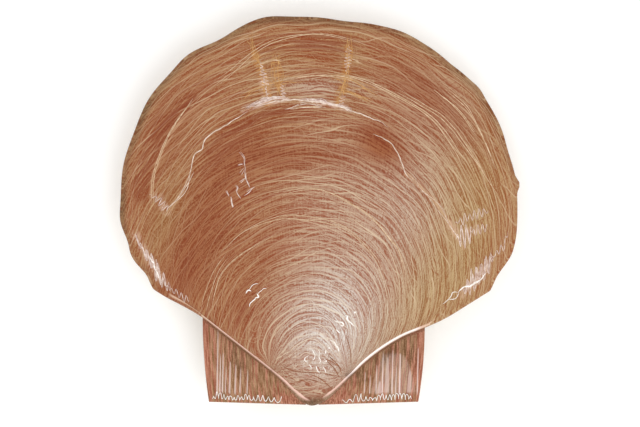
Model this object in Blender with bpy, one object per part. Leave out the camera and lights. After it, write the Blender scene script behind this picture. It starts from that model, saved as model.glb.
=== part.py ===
"""A closed sea scallop in its shell, lying on its flatter lower valve.

Each valve is one solid, shut right up to the plane where the two valves meet: a domed disc that
widens from the umbo, with a flat ear on either side of it along the straight hinge. The dark
ligament lies in a groove between the hinge edges of the two valves.

Shell frame, in millimetres: the pole of the umbo is at the origin, +Y runs from it to the free
margin, X runs along the hinge, and the valves meet in the plane z = 0.

A growth line is the margin scaled about the pole by t, which is 0 at the pole and 1 at the
margin. Along a growth line u runs from -1 on the left flank to +1 on the right flank.
"""
from dataclasses import dataclass
import math

import bmesh
import bpy
import numpy as np

MM = 0.001

# --- Disc and margin ---------------------------------------------------------------------
DISC_RADIUS = 60.35
DISC_CENTRE = (2.2, 60.0)
EDGE_THICKNESS = 1.2
EDGE_FOOT = 0.6
EDGE_OVERHANG = 0.7
ARCH_POWER = 1.15

# The free margin is flattened at the front: angle, share of the radius and width, in degrees.
FRONT_FLATS = ((2.0, 0.050, 24.0), (32.0, 0.022, 22.0))

# Shoulders, where the round margin turns in towards the flanks: depth as a share of the radius.
SHOULDER_DEPTH = {-1: 0.062, 1: 0.035}
SHOULDER_START = 103.0
SHOULDER_TURN = 10.0
SHOULDER_END = 128.0

# Lobes (+) and chips (-) worn into the free margin: angle in degrees, depth in mm, width.
MARGIN_WEAR = (
    (-102, -1.1, 5), (-94, 0.5, 4), (-78, 0.5, 7), (-58, 0.8, 8), (-42, 0.6, 5), (-31, -1.1, 6),
    (-16, 0.9, 6), (8, -0.6, 6), (26, 0.5, 6), (43, -0.4, 4), (54, 0.5, 3), (74, -0.5, 5),
    (84, 1.1, 1.6), (100, 0.4, 6),
)
WEAR_GROWTH = 8

# --- Flanks, from the pole to the shoulders ----------------------------------------------
FLANK_ANGLE = 52.0
UMBO_ROUNDING = 33.0
UMBO_OVERHANG = 1.0
UMBO_LIFT = 2.2
UMBO_REACH = 0.15

# --- Ears and hinge ----------------------------------------------------------------------
HINGE_OFFSET = 1.5
HINGE_RISE = 1.0
EAR_REACH = 34.0
EAR_BOW = 0.057
EAR_EDGE = 1.2
EAR_ROOT = 0.6
EAR_SWELL = 0.4
EAR_MIN_DEPTH = 0.25
NOTCH_PLACE = 0.28
NOTCH_WIDTH = 0.20

# --- Valves against each other and the ligament ------------------------------------------
VALVE_GAP = 0.3
FIT_GAP = 0.3
LIGAMENT_HALF_LENGTH = 28.7
LIGAMENT_HALF_HEIGHT = 0.45
LIGAMENT_DEPTH = 0.75
LIGAMENT_INSET = 0.15
GROOVE_CLEARANCE_OUTSIDE = 1.5

# --- Mesh fineness -----------------------------------------------------------------------
EDGE_STEPS = 3
EAR_STEPS = 6
LINE_CROWDING = 1.6
RING_HALF_WIDTH = 0.012


@dataclass(frozen=True)
class Flank:
    """One flank of the disc: its side, how its direction changes, and where its ear ends."""

    side: int
    turn: float
    turn_start: float
    turn_end: float
    rounding_reach: float
    ear_end: float


LEFT = Flank(
    side=-1, turn=2.4, turn_start=0.60, turn_end=1.00, rounding_reach=0.10, ear_end=0.645,
)
RIGHT = Flank(
    side=1, turn=5.9, turn_start=0.25, turn_end=0.80, rounding_reach=0.13, ear_end=0.618,
)


@dataclass(frozen=True)
class Valve:
    """The sizes that differ between the two valves."""

    name: str
    upward: int
    crest: float
    swell: float
    fall: float
    outline_scale: float
    flat_cut: float
    notch: float
    ring_rise: float
    rings: tuple
    lines: int
    rays: int
    colour: tuple
    roughness: float


UPPER = Valve(
    name="upper_valve", upward=1, crest=17.0, swell=0.75, fall=1.0,
    outline_scale=1.0, flat_cut=0.0, notch=0.0, ring_rise=0.45, rings=(0.34, 0.55, 0.785),
    lines=18, rays=60, colour=(0.36, 0.17, 0.10, 1.0), roughness=0.55,
)
LOWER = Valve(
    name="lower_valve", upward=-1, crest=12.4, swell=0.6, fall=0.6,
    outline_scale=0.985, flat_cut=0.6, notch=2.2, ring_rise=0.0, rings=(),
    lines=18, rays=44, colour=(0.75, 0.66, 0.52, 1.0), roughness=0.5,
)
LIGAMENT_COLOUR = (0.028, 0.016, 0.010, 1.0)
LIGAMENT_ROUGHNESS = 0.6


def smooth_step(value):
    """Ease from 0 to 1 as value goes from 0 to 1, flat at both ends."""
    value = np.clip(value, 0.0, 1.0)
    return value * value * (3.0 - 2.0 * value)


def bell(value, width):
    """Gaussian bump of height 1 about zero."""
    return np.exp(-((value / width) ** 2))


def margin_point(angle, t):
    """Point of the margin at an angle, in degrees, from straight ahead of the disc's centre."""
    share = np.ones_like(angle * t)
    for place, depth, width in FRONT_FLATS:
        share -= depth * bell(angle - place, width)
    for side, depth in SHOULDER_DEPTH.items():
        beyond = side * angle
        turned_in = smooth_step((beyond - SHOULDER_START) / SHOULDER_TURN)
        turned_back = smooth_step((beyond - SHOULDER_END) / SHOULDER_TURN)
        share -= depth * (turned_in - turned_back)
    radius = DISC_RADIUS * share
    for place, depth, width in MARGIN_WEAR:
        radius += depth * bell(angle - place, width) * t ** WEAR_GROWTH
    x = DISC_CENTRE[0] + radius * np.sin(np.radians(angle))
    y = DISC_CENTRE[1] + radius * np.cos(np.radians(angle))
    return x, y


def flank_direction(flank, t):
    """Direction of the flank from the pole, in degrees from straight ahead, at growth line t."""
    turned = (t - flank.turn_start) / (flank.turn_end - flank.turn_start)
    rounding = UMBO_ROUNDING * bell(t, flank.rounding_reach)
    return FLANK_ANGLE + flank.turn * smooth_step(turned) + rounding


def flank_angle(flank, t):
    """Margin angle, in degrees, at which growth line t meets the flank."""
    angle = flank.side * np.linspace(60.0, 176.0, 2000)
    x, y = margin_point(angle, np.zeros_like(angle))
    direction = np.degrees(np.arctan2(flank.side * x, y))
    direction = np.maximum.accumulate(direction)
    return np.interp(flank_direction(flank, t), direction, angle)


def edge_thickness(t):
    """Thickness of a valve where the dome starts: thicker round the umbo."""
    return EDGE_THICKNESS + UMBO_LIFT * bell(t, UMBO_REACH)


def dome_height(valve, t, forward):
    """Height of the disc's surface over the plane where the valves meet.

    Along the middle it rises as t**swell and falls as (1 - t)**fall. A shell grows by turning
    about its hinge, so along a growth line the height follows the distance from the hinge:
    forward is that distance, as a share of the one straight ahead. The very top may be cut
    flat, so that the shell lies on it.
    """
    top = valve.swell / (valve.swell + valve.fall)
    peak = top ** valve.swell * (1.0 - top) ** valve.fall
    along = t ** valve.swell * (1.0 - t) ** valve.fall / peak
    arch = np.clip(forward, 0.0, 1.0) ** ARCH_POWER
    height = edge_thickness(t) + valve.crest * along * arch
    for ring in valve.rings:
        height = height + valve.ring_rise * bell(t - ring, RING_HALF_WIDTH) * arch
    return np.minimum(height, height.max() - valve.flat_cut)


def growth_lines(valve):
    """The values of t that carry mesh lines: crowded at the umbo, and three to each ring."""
    special = [RIGHT.ear_end, LEFT.ear_end]
    for ring in valve.rings:
        special += [ring - RING_HALF_WIDTH, ring, ring + RING_HALF_WIDTH]
    regular = np.linspace(0.0, 1.0, valve.lines + 1)[1:] ** LINE_CROWDING
    regular = [t for t in regular if min(abs(t - s) for s in special) > RING_HALF_WIDTH]
    return np.array(sorted(regular + special))


def disc_points(valve, lines):
    """Grid of points on the disc, one row for each growth line and one column for each ray."""
    t = lines[:, None]
    u = np.linspace(-1.0, 1.0, valve.rays + 1)[None, :]
    reach = np.where(u < 0, -flank_angle(LEFT, t), flank_angle(RIGHT, t))
    x, y = margin_point(u * reach, t * np.ones_like(u))
    forward = y / (DISC_CENTRE[1] + DISC_RADIUS)
    return np.stack([t * x, t * y, dome_height(valve, t, forward)], axis=-1)


def hinge_line(x):
    """Where the hinge edge lies at x: it slopes up a little from the umbo to both ends."""
    return -HINGE_OFFSET + HINGE_RISE * np.abs(x) / EAR_REACH


def ear_height(x, w):
    """Height of an ear's surface at x, with w from 0 at the flank to 1 at the hinge edge."""
    out = np.clip(np.abs(x) / EAR_REACH, 0.0, 1.0)
    return EAR_EDGE + EAR_ROOT * (1.0 - out ** 2) + EAR_SWELL * (1.0 - w)


def ear_points(valve, feet):
    """Grid of points on an ear: one row for each foot of the flank, down to the hinge edge."""
    w = np.linspace(0.0, 1.0, EAR_STEPS + 1)[None, 1:]
    x = feet[:, :1] * (1.0 - EAR_BOW * w ** 2)
    out = np.abs(x) / EAR_REACH
    x = x - valve.notch * bell(w - NOTCH_PLACE, NOTCH_WIDTH) * np.where(x > 0, out ** 8, 0.0)
    y = feet[:, 1:2] + (hinge_line(x) - feet[:, 1:2]) * w
    return np.stack([x, y, ear_height(x, w)], axis=-1)


class ClosedMesh:
    """A mesh put together from patches, each a grid of point numbers."""

    def __init__(self):
        self.points = []
        self.faces = []

    def add(self, points):
        """Store an array of points, and return their numbers in an array of the same layout."""
        first = len(self.points)
        flat = points.reshape(-1, 3)
        self.points.extend(flat)
        return np.arange(first, first + len(flat)).reshape(points.shape[:-1])

    def patch(self, grid):
        """Span each cell of a grid of point numbers; a cell with a repeated point is a triangle."""
        cells = zip(grid[:-1, :-1].flat, grid[1:, :-1].flat, grid[1:, 1:].flat, grid[:-1, 1:].flat)
        for cell in cells:
            corners = tuple(dict.fromkeys(int(corner) for corner in cell))
            if len(corners) > 2:
                self.faces.append(corners)


def outward(loop):
    """Outward unit normals, in plan, of a closed loop that runs counter-clockwise."""
    along = np.roll(loop, -1, axis=0) - np.roll(loop, 1, axis=0)
    normal = np.stack([along[:, 1], -along[:, 0]], axis=-1)
    return normal / np.linalg.norm(normal, axis=1, keepdims=True)


def valve_solid(valve):
    """One valve in the shell frame: disc, rounded edge, both ears, and the flat inner face."""
    mesh = ClosedMesh()
    lines = growth_lines(valve)
    count = len(lines)
    pole_height = np.array([[0.0, 0.0, EDGE_THICKNESS + UMBO_LIFT]])
    pole = int(mesh.add(pole_height)[0])
    disc = mesh.add(disc_points(valve, lines))
    mesh.patch(np.vstack([np.full(disc.shape[1], pole), disc]))

    # The edge of the disc, as one loop: down the left flank, round the pole, up the right
    # flank, and back along the free margin.
    base = np.concatenate([disc[::-1, 0], [pole], disc[:, -1], disc[-1, -2:0:-1]])
    t_left = lines[::-1]
    t_margin = np.ones(disc.shape[1] - 2)
    t = np.concatenate([t_left, [0.0], lines, t_margin])
    top = np.array(mesh.points)[base]
    normal = outward(top[:, :2])
    overhang = EDGE_OVERHANG + UMBO_OVERHANG * bell(t, UMBO_REACH)
    feet = top[:, :2] + normal * overhang[:, None]
    stations = np.arange(len(base))
    by_ear = t <= np.where(stations < count, LEFT.ear_end, RIGHT.ear_end)
    foot_height = np.where(by_ear, ear_height(feet[:, 0], 0.0), EDGE_FOOT)

    # The edge rolls over from the disc's surface to its foot in a quarter ellipse.
    turn = np.linspace(0.0, 0.5 * math.pi, EDGE_STEPS + 1)[None, 1:, None]
    roll_plan = top[:, None, :2] + normal[:, None, :] * overhang[:, None, None] * np.sin(turn)
    drop = (top[:, 2] - foot_height)[:, None, None]
    roll_height = foot_height[:, None, None] + drop * np.cos(turn)
    roll = mesh.add(np.concatenate([roll_plan, roll_height], axis=-1))
    edge = np.column_stack([base, roll])
    mesh.patch(np.vstack([edge, edge[:1]]))
    foot = edge[:, -1]

    # The ears hang between the flanks' feet and the hinge edge.
    deep = feet[:, 1] - hinge_line(feet[:, 0]) > EAR_MIN_DEPTH
    left = stations[by_ear & deep & (stations < count)]
    right = stations[by_ear & deep & (stations > count)]
    ears = []
    for side in (left, right):
        ear = mesh.add(ear_points(valve, feet[side]))
        ear = np.column_stack([foot[side], ear])
        mesh.patch(ear)
        ears.append(ear)

    # The outline runs along the feet, and round each ear where there is one.
    rim = np.concatenate([
        foot[:left[0]], ears[0][0, :-1], ears[0][:-1, -1], ears[0][-1, ::-1],
        foot[left[-1] + 1:right[0]], ears[1][0, :-1], ears[1][:-1, -1], ears[1][-1, ::-1],
        foot[right[-1] + 1:],
    ])
    inner = np.array(mesh.points)[rim]
    inner[:, 2] = 0.5 * VALVE_GAP
    inner_rim = mesh.add(inner)
    wall = np.stack([rim, inner_rim])
    mesh.patch(np.column_stack([wall, wall[:, :1]]))
    mesh.faces.append(tuple(int(corner) for corner in inner_rim))

    points = np.array(mesh.points)
    points[:, :2] *= valve.outline_scale
    points[:, 2] *= valve.upward
    return points, mesh.faces


def chevron_solid(half_length, front, back, half_height):
    """Bar that follows the hinge line, from front behind that line to back ahead of it."""
    x = np.array([-half_length, 0.0, half_length])
    near = np.column_stack([x, hinge_line(x) + front])
    far = np.column_stack([x, hinge_line(x) + back])[::-1]
    outline = np.concatenate([near, far])
    count = len(outline)
    low = np.column_stack([outline, np.full(count, -half_height)])
    high = np.column_stack([outline, np.full(count, half_height)])
    mesh = ClosedMesh()
    walls = mesh.add(np.stack([low, high]))
    mesh.patch(np.column_stack([walls, walls[:, :1]]))
    mesh.faces.append(tuple(int(corner) for corner in walls[0]))
    mesh.faces.append(tuple(int(corner) for corner in walls[1]))
    return np.array(mesh.points), mesh.faces


def make_object(name, points, faces, parent):
    """Blender object from points in millimetres, with its faces turned outwards."""
    mesh = bpy.data.meshes.new(name)
    mesh.from_pydata([tuple(point) for point in points * MM], [], faces)
    work = bmesh.new()
    work.from_mesh(mesh)
    bmesh.ops.recalc_face_normals(work, faces=work.faces)
    work.to_mesh(mesh)
    work.free()
    mesh.shade_smooth()
    mesh.set_sharp_from_angle(angle=math.radians(40.0))
    piece = bpy.data.objects.new(name, mesh)
    piece.parent = parent
    bpy.context.scene.collection.objects.link(piece)
    return piece


def give_material(piece, colour, roughness):
    """Plain Principled material for one piece."""
    material = bpy.data.materials.new(piece.name)
    material.use_nodes = True
    shader = material.node_tree.nodes["Principled BSDF"]
    shader.inputs["Base Color"].default_value = colour
    shader.inputs["Roughness"].default_value = roughness
    shader.inputs["Metallic"].default_value = 0.0
    material.diffuse_color = colour
    piece.data.materials.append(material)


def cut_groove(piece, cutter):
    """Take the ligament's groove out of a valve's hinge edge."""
    groove = piece.modifiers.new("ligament_groove", "BOOLEAN")
    groove.operation = "DIFFERENCE"
    groove.solver = "EXACT"
    groove.object = cutter


def main():
    """Build both valves and the ligament, and stand them on the floor under one empty."""
    for old in list(bpy.data.objects):
        bpy.data.objects.remove(old)

    solids = {valve: valve_solid(valve) for valve in (UPPER, LOWER)}
    every_point = np.concatenate([points for points, faces in solids.values()])
    lowest = every_point.min(axis=0)
    middle = 0.5 * (lowest + every_point.max(axis=0))
    shell = bpy.data.objects.new("shell_frame", None)
    shell.location = (-middle[0] * MM, -middle[1] * MM, -lowest[2] * MM)
    bpy.context.scene.collection.objects.link(shell)

    groove = chevron_solid(
        half_length=LIGAMENT_HALF_LENGTH + FIT_GAP,
        front=-GROOVE_CLEARANCE_OUTSIDE,
        back=LIGAMENT_INSET + LIGAMENT_DEPTH + FIT_GAP,
        half_height=LIGAMENT_HALF_HEIGHT + FIT_GAP,
    )
    cutter = make_object("groove_cutter", *groove, shell)
    cutter.hide_render = True
    cutter.display_type = "WIRE"

    for valve, solid in solids.items():
        piece = make_object(valve.name, *solid, shell)
        give_material(piece, valve.colour, valve.roughness)
        cut_groove(piece, cutter)

    ligament = chevron_solid(
        half_length=LIGAMENT_HALF_LENGTH,
        front=LIGAMENT_INSET,
        back=LIGAMENT_INSET + LIGAMENT_DEPTH,
        half_height=LIGAMENT_HALF_HEIGHT,
    )
    piece = make_object("hinge_ligament", *ligament, shell)
    give_material(piece, LIGAMENT_COLOUR, LIGAMENT_ROUGHNESS)


main()
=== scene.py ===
"""Looks of a closed sea scallop, lying on its flatter lower valve.

Both valves, the ligament between their hinge edges, the frill along the hinge and the fine
threads, scratches, worm tubes and painted glints on the upper valve are surfaces worked out
from the shell's own sizes, in millimetres.

Shell frame: the pole of the umbo is at the origin, +Y runs from it to the free margin, X runs
along the hinge, and the valves meet in the plane z = 0. A growth line is the margin scaled
about the pole by t, which is 0 at the pole and 1 at the margin. An angle is measured about the
disc's centre, in degrees from straight ahead, to the right.
"""

from collections.abc import Iterable
from dataclasses import dataclass, field
from enum import Enum
import logging
import math

import bpy
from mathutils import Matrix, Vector
import numpy as np


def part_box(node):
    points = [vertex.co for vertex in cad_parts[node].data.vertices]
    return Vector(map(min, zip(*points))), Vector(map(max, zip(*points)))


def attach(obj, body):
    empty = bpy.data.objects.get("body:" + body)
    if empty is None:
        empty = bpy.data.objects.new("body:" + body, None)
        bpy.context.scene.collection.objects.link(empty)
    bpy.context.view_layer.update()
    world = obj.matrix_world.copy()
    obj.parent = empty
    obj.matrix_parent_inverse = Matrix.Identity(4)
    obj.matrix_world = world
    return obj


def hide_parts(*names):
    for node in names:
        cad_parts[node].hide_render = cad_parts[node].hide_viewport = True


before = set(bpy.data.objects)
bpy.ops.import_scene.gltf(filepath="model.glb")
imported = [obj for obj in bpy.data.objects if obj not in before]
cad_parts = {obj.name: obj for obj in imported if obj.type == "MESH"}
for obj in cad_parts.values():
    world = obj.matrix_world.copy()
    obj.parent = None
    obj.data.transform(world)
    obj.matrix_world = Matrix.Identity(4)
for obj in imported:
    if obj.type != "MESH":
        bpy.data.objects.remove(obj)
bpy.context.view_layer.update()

LOG = logging.getLogger("scallop")
MM = 0.001
BODY = "root"
Array = np.ndarray


# --- Small rules shared by every surface ---------------------------------------------------
def smooth_step(value: Array) -> Array:
    """Ease from 0 to 1 as value goes from 0 to 1, flat at both ends."""
    value = np.clip(value, 0.0, 1.0)
    return value * value * (3.0 - 2.0 * value)


def bell(value: Array, width: float) -> Array:
    """Gaussian bump of height 1 about zero: exp(-(value / width) squared)."""
    return np.exp(-((value / width) ** 2))


def window(value: Array, start: float, end: float, fade: float) -> Array:
    """1 between start and end, easing to 0 over fade outside them."""
    return smooth_step((value - start) / fade + 1.0) * smooth_step((end - value) / fade + 1.0)


def knots_at(knots: tuple[tuple[float, float], ...], where: Array) -> Array:
    """Height of the broken line through the knots, each (place, height), at where."""
    places, heights = np.array(knots).T
    return np.interp(where, places, heights)


class ValueNoise:
    """Smooth seeded noise of two variables, from -1 to 1.

    Random values stand on a square lattice, and between its corners the value is eased.
    """

    def __init__(self, seed: int, size: int = 512) -> None:
        """Fill the lattice.

        Args:
            seed: Number that fixes the random values.
            size: Corners along each side, after which the lattice repeats.
        """
        self.size = size
        self.lattice = np.random.default_rng(seed).uniform(-1.0, 1.0, (size, size))

    def at(self, x: Array, y: Array) -> Array:
        """Value of the noise at (x, y), in lattice steps.

        Args:
            x: First coordinate.
            y: Second coordinate.

        Returns:
            The eased mean of the four corners around each point.
        """
        x, y = np.broadcast_arrays(x, y)
        column = np.floor(x).astype(int)
        row = np.floor(y).astype(int)
        right = smooth_step(x - column)
        up = smooth_step(y - row)
        low = self.lattice[column % self.size, row % self.size] * (1.0 - right)
        low = low + self.lattice[(column + 1) % self.size, row % self.size] * right
        high = self.lattice[column % self.size, (row + 1) % self.size] * (1.0 - right)
        high = high + self.lattice[(column + 1) % self.size, (row + 1) % self.size] * right
        return low * (1.0 - up) + high * up


# --- The shell's plan ----------------------------------------------------------------------
class Side(Enum):
    """Which side of the shell, as the sign of X."""

    LEFT = -1
    RIGHT = 1


@dataclass(frozen=True)
class Flank:
    """One straight side of the disc, from the pole to the shoulder, and the ear beside it."""

    side: Side
    turn: float
    turn_start: float
    turn_end: float
    rounding_reach: float
    ear_end: float


@dataclass(frozen=True)
class Plan:
    """Outline of the shell seen from above, in millimetres about the pole."""

    disc_radius: float = 60.35
    disc_centre: tuple[float, float] = (2.2, 60.0)
    front_flats: tuple[tuple[float, float, float], ...] = ((2, 0.050, 24), (32, 0.022, 22))
    shoulder_depth: tuple[tuple[Side, float], ...] = ((Side.LEFT, 0.062), (Side.RIGHT, 0.035))
    shoulder_start: float = 103.0
    shoulder_turn: float = 10.0
    shoulder_end: float = 128.0
    margin_wear: tuple[tuple[float, float, float], ...] = (
        (-102, -1.1, 5), (-94, 0.5, 4), (-78, 0.5, 7), (-58, 0.8, 8), (-42, 0.6, 5),
        (-31, -1.1, 6), (-16, 0.9, 6), (8, -0.6, 6), (26, 0.5, 6), (43, -0.4, 4),
        (54, 0.5, 3), (74, -0.5, 5), (84, 1.1, 1.6), (100, 0.4, 6),
    )
    wear_growth: float = 8.0
    flank_angle: float = 52.0
    umbo_rounding: float = 33.0
    flanks: tuple[Flank, Flank] = (
        Flank(Side.LEFT, 2.4, 0.60, 1.00, 0.10, 0.645),
        Flank(Side.RIGHT, 5.9, 0.25, 0.80, 0.13, 0.618),
    )
    hinge_offset: float = 1.5
    hinge_rise: float = 1.0
    ear_reach: float = 34.0
    flank_search: tuple[float, float, int] = (60.0, 176.0, 2000)
    locate_search: tuple[float, float, int] = (-176.0, 176.0, 4000)

    def margin(self, angle: Array, t: Array) -> tuple[Array, Array]:
        """Point of the margin at an angle.

        The radius is the disc's, flattened at the front by bells, turned in at each shoulder
        by a difference of two eases, and worn by small bells that grow as a power of t.

        Args:
            angle: Degrees from straight ahead, about the disc's centre.
            t: Growth line, which sets how much of the wear shows.

        Returns:
            X and Y, in millimetres about the pole.
        """
        share = np.ones(np.broadcast_shapes(np.shape(angle), np.shape(t)))
        for place, depth, width in self.front_flats:
            share = share - depth * bell(angle - place, width)
        for side, depth in self.shoulder_depth:
            beyond = side.value * angle
            turned_in = smooth_step((beyond - self.shoulder_start) / self.shoulder_turn)
            turned_back = smooth_step((beyond - self.shoulder_end) / self.shoulder_turn)
            share = share - depth * (turned_in - turned_back)
        radius = self.disc_radius * share
        for place, depth, width in self.margin_wear:
            radius = radius + depth * bell(angle - place, width) * t ** self.wear_growth
        x = self.disc_centre[0] + radius * np.sin(np.radians(angle))
        y = self.disc_centre[1] + radius * np.cos(np.radians(angle))
        return x, y

    def flank_reach(self, flank: Flank, t: Array) -> Array:
        """Signed margin angle at which growth line t meets a flank.

        The flank's direction from the pole turns outwards with an ease, and widens round the
        pole by a bell, so that the umbo is round.

        Args:
            flank: The flank to meet.
            t: Growth line.

        Returns:
            The angle in degrees, negative on the left.
        """
        sign = flank.side.value
        angle = sign * np.linspace(*self.flank_search)
        x, y = self.margin(angle, np.zeros_like(angle))
        direction = np.maximum.accumulate(np.degrees(np.arctan2(sign * x, y)))
        turned = smooth_step((t - flank.turn_start) / (flank.turn_end - flank.turn_start))
        rounding = self.umbo_rounding * bell(t, flank.rounding_reach)
        wanted = self.flank_angle + flank.turn * turned + rounding
        return np.interp(wanted, direction, angle)

    def hinge_line(self, x: Array) -> Array:
        """Where the hinge edge lies at x: it slopes up a little from the umbo to both ends."""
        return -self.hinge_offset + self.hinge_rise * np.abs(x) / self.ear_reach

    def locate(self, x: Array, y: Array) -> tuple[Array, Array]:
        """Growth line and angle of points in plan, with the margin's wear left out.

        Args:
            x: X in millimetres.
            y: Y in millimetres.

        Returns:
            Growth line t and the angle in degrees, found from the direction seen at the pole.
        """
        angles = np.linspace(*self.locate_search)
        margin_x, margin_y = self.margin(angles, np.zeros_like(angles))
        directions = np.maximum.accumulate(np.arctan2(margin_x, margin_y))
        angle = np.interp(np.arctan2(x, y), directions, angles)
        margin_x, margin_y = self.margin(angle, np.zeros_like(angle))
        return np.hypot(x, y) / np.hypot(margin_x, margin_y), angle

    @property
    def length(self) -> float:
        """Distance straight ahead from the pole to the margin, before the flats and wear."""
        return self.disc_centre[1] + self.disc_radius


PLAN = Plan()


@dataclass(frozen=True)
class GrowthCourse:
    """Course of the fine growth lines, which are not quite the margin's shape.

    Each is a circle through (axis, label) about a centre that climbs as the shell grows, and
    climbs differently on the two sides. The first ones close round the umbo.
    """

    axis: float = 0.0
    first: float = 15.5
    last: float = 175.0
    blend: float = 6.0
    halvings: int = 30
    meetings: tuple[tuple[float, float], ...] = ((-12.2, 9.4), (10.4, 8.0))
    seen_between: tuple[float, float] = (0.1, 6.2)
    left_centres: tuple[tuple[float, float], ...] = (
        (15.5, 15.5), (55.0, 16.5), (85.0, 30.0), (118.0, 44.0), (175.0, 68.0),
    )
    right_centres: tuple[tuple[float, float], ...] = (
        (15.5, 15.5), (30.0, 19.0), (60.0, 32.0), (75.0, 37.0), (118.0, 50.0), (175.0, 74.0),
    )

    def centre(self, label: Array, x: Array) -> Array:
        """Height of a line's centre, eased from the left rule to the right one across the axis.

        Args:
            label: The line's label, in millimetres.
            x: X of the point in question, in millimetres.

        Returns:
            The centre's y, in millimetres.
        """
        right = 0.5 + 0.5 * np.tanh((x - self.axis) / self.blend)
        left_height = knots_at(self.left_centres, label)
        return left_height + (knots_at(self.right_centres, label) - left_height) * right

    def coordinates(self, x: Array, y: Array) -> tuple[Array, Array]:
        """Which growth line passes through a point, and how far along it the point is.

        The label is found by halving: a point outside a line's circle has a larger label.

        Args:
            x: X in millimetres.
            y: Y in millimetres.

        Returns:
            The line's label and the run along it from the axis, both in millimetres.
        """
        low = np.full(np.shape(x), self.first)
        high = np.full(np.shape(x), self.last)
        for _ in range(self.halvings):
            label = 0.5 * (low + high)
            centre = self.centre(label, x)
            outside = np.hypot(x - self.axis, y - centre) > label - centre
            low = np.where(outside, label, low)
            high = np.where(outside, high, label)
        centre = self.centre(low, x)
        run = (low - centre) * np.arctan2(x - self.axis, y - centre)
        return low, run

    def early(self, x: Array, y: Array) -> tuple[Array, Array]:
        """The same near the pole, where the lines are arcs that meet at a point by each flank.

        Every arc through two points sees them under one angle, from which its height over
        their middle is the half gap between them over the tangent of half the angle. How far
        along an arc a point is follows from the ratio of its distances to the two.

        Args:
            x: X in millimetres.
            y: Y in millimetres.

        Returns:
            The arc's height on its axis and the run along it, both in millimetres.
        """
        left, right = (complex(*meeting) - (x + 1j * y) for meeting in self.meetings)
        half_gap = 0.5 * abs(complex(*self.meetings[1]) - complex(*self.meetings[0]))
        middle = 0.5 * (self.meetings[0][1] + self.meetings[1][1])
        seen = np.mod(-np.angle(left / right), 2.0 * math.pi)
        height = half_gap / np.tan(0.5 * np.clip(seen, *self.seen_between))
        return middle + height, 0.5 * half_gap * np.log(np.abs(left) / np.abs(right))


COURSE = GrowthCourse()


# --- Marks on the shell --------------------------------------------------------------------
Course = tuple[tuple[float, float], ...]


def curve_through(knots: Array, steps: int) -> Array:
    """Smooth curve through knots, by Catmull and Rom's cubic between each two of them.

    Args:
        knots: Points, one a row.
        steps: Points in each stretch.

    Returns:
        The curve's points, from the first knot to the last.
    """
    before = np.vstack([2 * knots[0] - knots[1], knots[:-2], knots[-2]])[:len(knots) - 1]
    start, end = knots[:-1], knots[1:]
    after = np.vstack([knots[2:], 2 * knots[-1] - knots[-2]])
    s = (np.arange(steps) / steps)[None, :, None]
    before, start, end, after = (part[:, None, :] for part in (before, start, end, after))
    curve = 0.5 * (
        2 * start + (end - before) * s + (2 * before - 5 * start + 4 * end - after) * s ** 2
        + (3 * start - before - 3 * end + after) * s ** 3
    )
    return np.vstack([curve.reshape(-1, knots.shape[1]), knots[-1:]])


@dataclass(frozen=True)
class Mark:
    """Courses on the disc that are coloured alike, each a smooth curve through a few knots.

    A knot is (x, y), in millimetres about the pole.
    """

    name: str
    courses: tuple[Course, ...]
    steps: int = 5

    def distance(self, x: Array, y: Array) -> Array:
        """Distance in plan to the nearest course, in millimetres.

        Each course is broken into short stretches. The nearest point of a stretch is the foot
        of the perpendicular on it, kept between its ends.

        Args:
            x: X in millimetres.
            y: Y in millimetres.

        Returns:
            The least of the distances to all the stretches.
        """
        nearest = np.full(np.shape(x), np.inf)
        for course in self.courses:
            path = curve_through(np.array(course), self.steps)
            for start, end in zip(path[:-1], path[1:]):
                along = end - start
                share = ((x - start[0]) * along[0] + (y - start[1]) * along[1]) / (along @ along)
                share = np.clip(share, 0.0, 1.0)
                foot_x, foot_y = start[0] + share * along[0], start[1] + share * along[1]
                nearest = np.minimum(nearest, np.hypot(x - foot_x, y - foot_y))
        return nearest


RING = Mark(
    "ring",
    (
        ((-21.0, 89.2), (-17.9, 90.2), (-13.0, 91.6), (-7.4, 92.1)),
        ((-3.0, 92.1), (1.5, 91.5), (6.8, 90.6), (10.2, 89.5)),
    ),
)
MARKS = (
    RING,
    Mark(
        "pale_band",
        (
            ((-37.1, 69.9), (-38.5, 66.2), (-40.7, 62.5), (-43.4, 58.8)),
            ((28.6, 69.4), (31.0, 67.4), (38.5, 59.9), (44.4, 50.0), (46.4, 46.8)),
            ((-31.4, 92.3), (-38.8, 87.3), (-44.8, 78.7), (-48.6, 69.0), (-49.4, 60.0)),
        ),
    ),
    Mark(
        "dark_band",
        (
            ((-30.0, 75.5), (-25.0, 81.0), (-17.0, 85.6), (-6.0, 88.0), (4.0, 87.4)),
            ((-38.0, 92.0), (-46.9, 83.2), (-51.4, 72.3), (-52.4, 64.0)),
            ((-15.0, 108.0), (-4.0, 109.8), (10.2, 109.4)),
        ),
    ),
    Mark(
        "ray_streak",
        (
            ((-17.4, 106.0), (-15.8, 101.6), (-14.5, 98.0), (-13.2, 91.1)),
            ((-11.2, 103.6), (-10.0, 97.0), (-9.2, 92.4)),
            ((11.2, 108.0), (11.1, 104.7), (10.3, 99.5), (9.4, 95.0), (8.0, 90.2)),
        ),
    ),
    # Painted glints: pale hatch near the margin at the lower left and the lower right. The other
    # courses are whitish wear.
    Mark(
        "glint_and_wear",
        (
            ((-15.0, 98.5), (-13.4, 91.6)),
            ((-47.0, 62.5), (-44.6, 58.0)),
            ((42.3, 54.0), (44.6, 51.0), (46.2, 50.6), (50.5, 52.9)),
            ((45.9, 32.6), (48.1, 34.8), (50.5, 37.0), (53.0, 39.8)),
            ((-54.4, 51.0), (-52.2, 47.0), (-49.3, 41.8), (-45.8, 36.7)),
        ),
    ),
)


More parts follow.
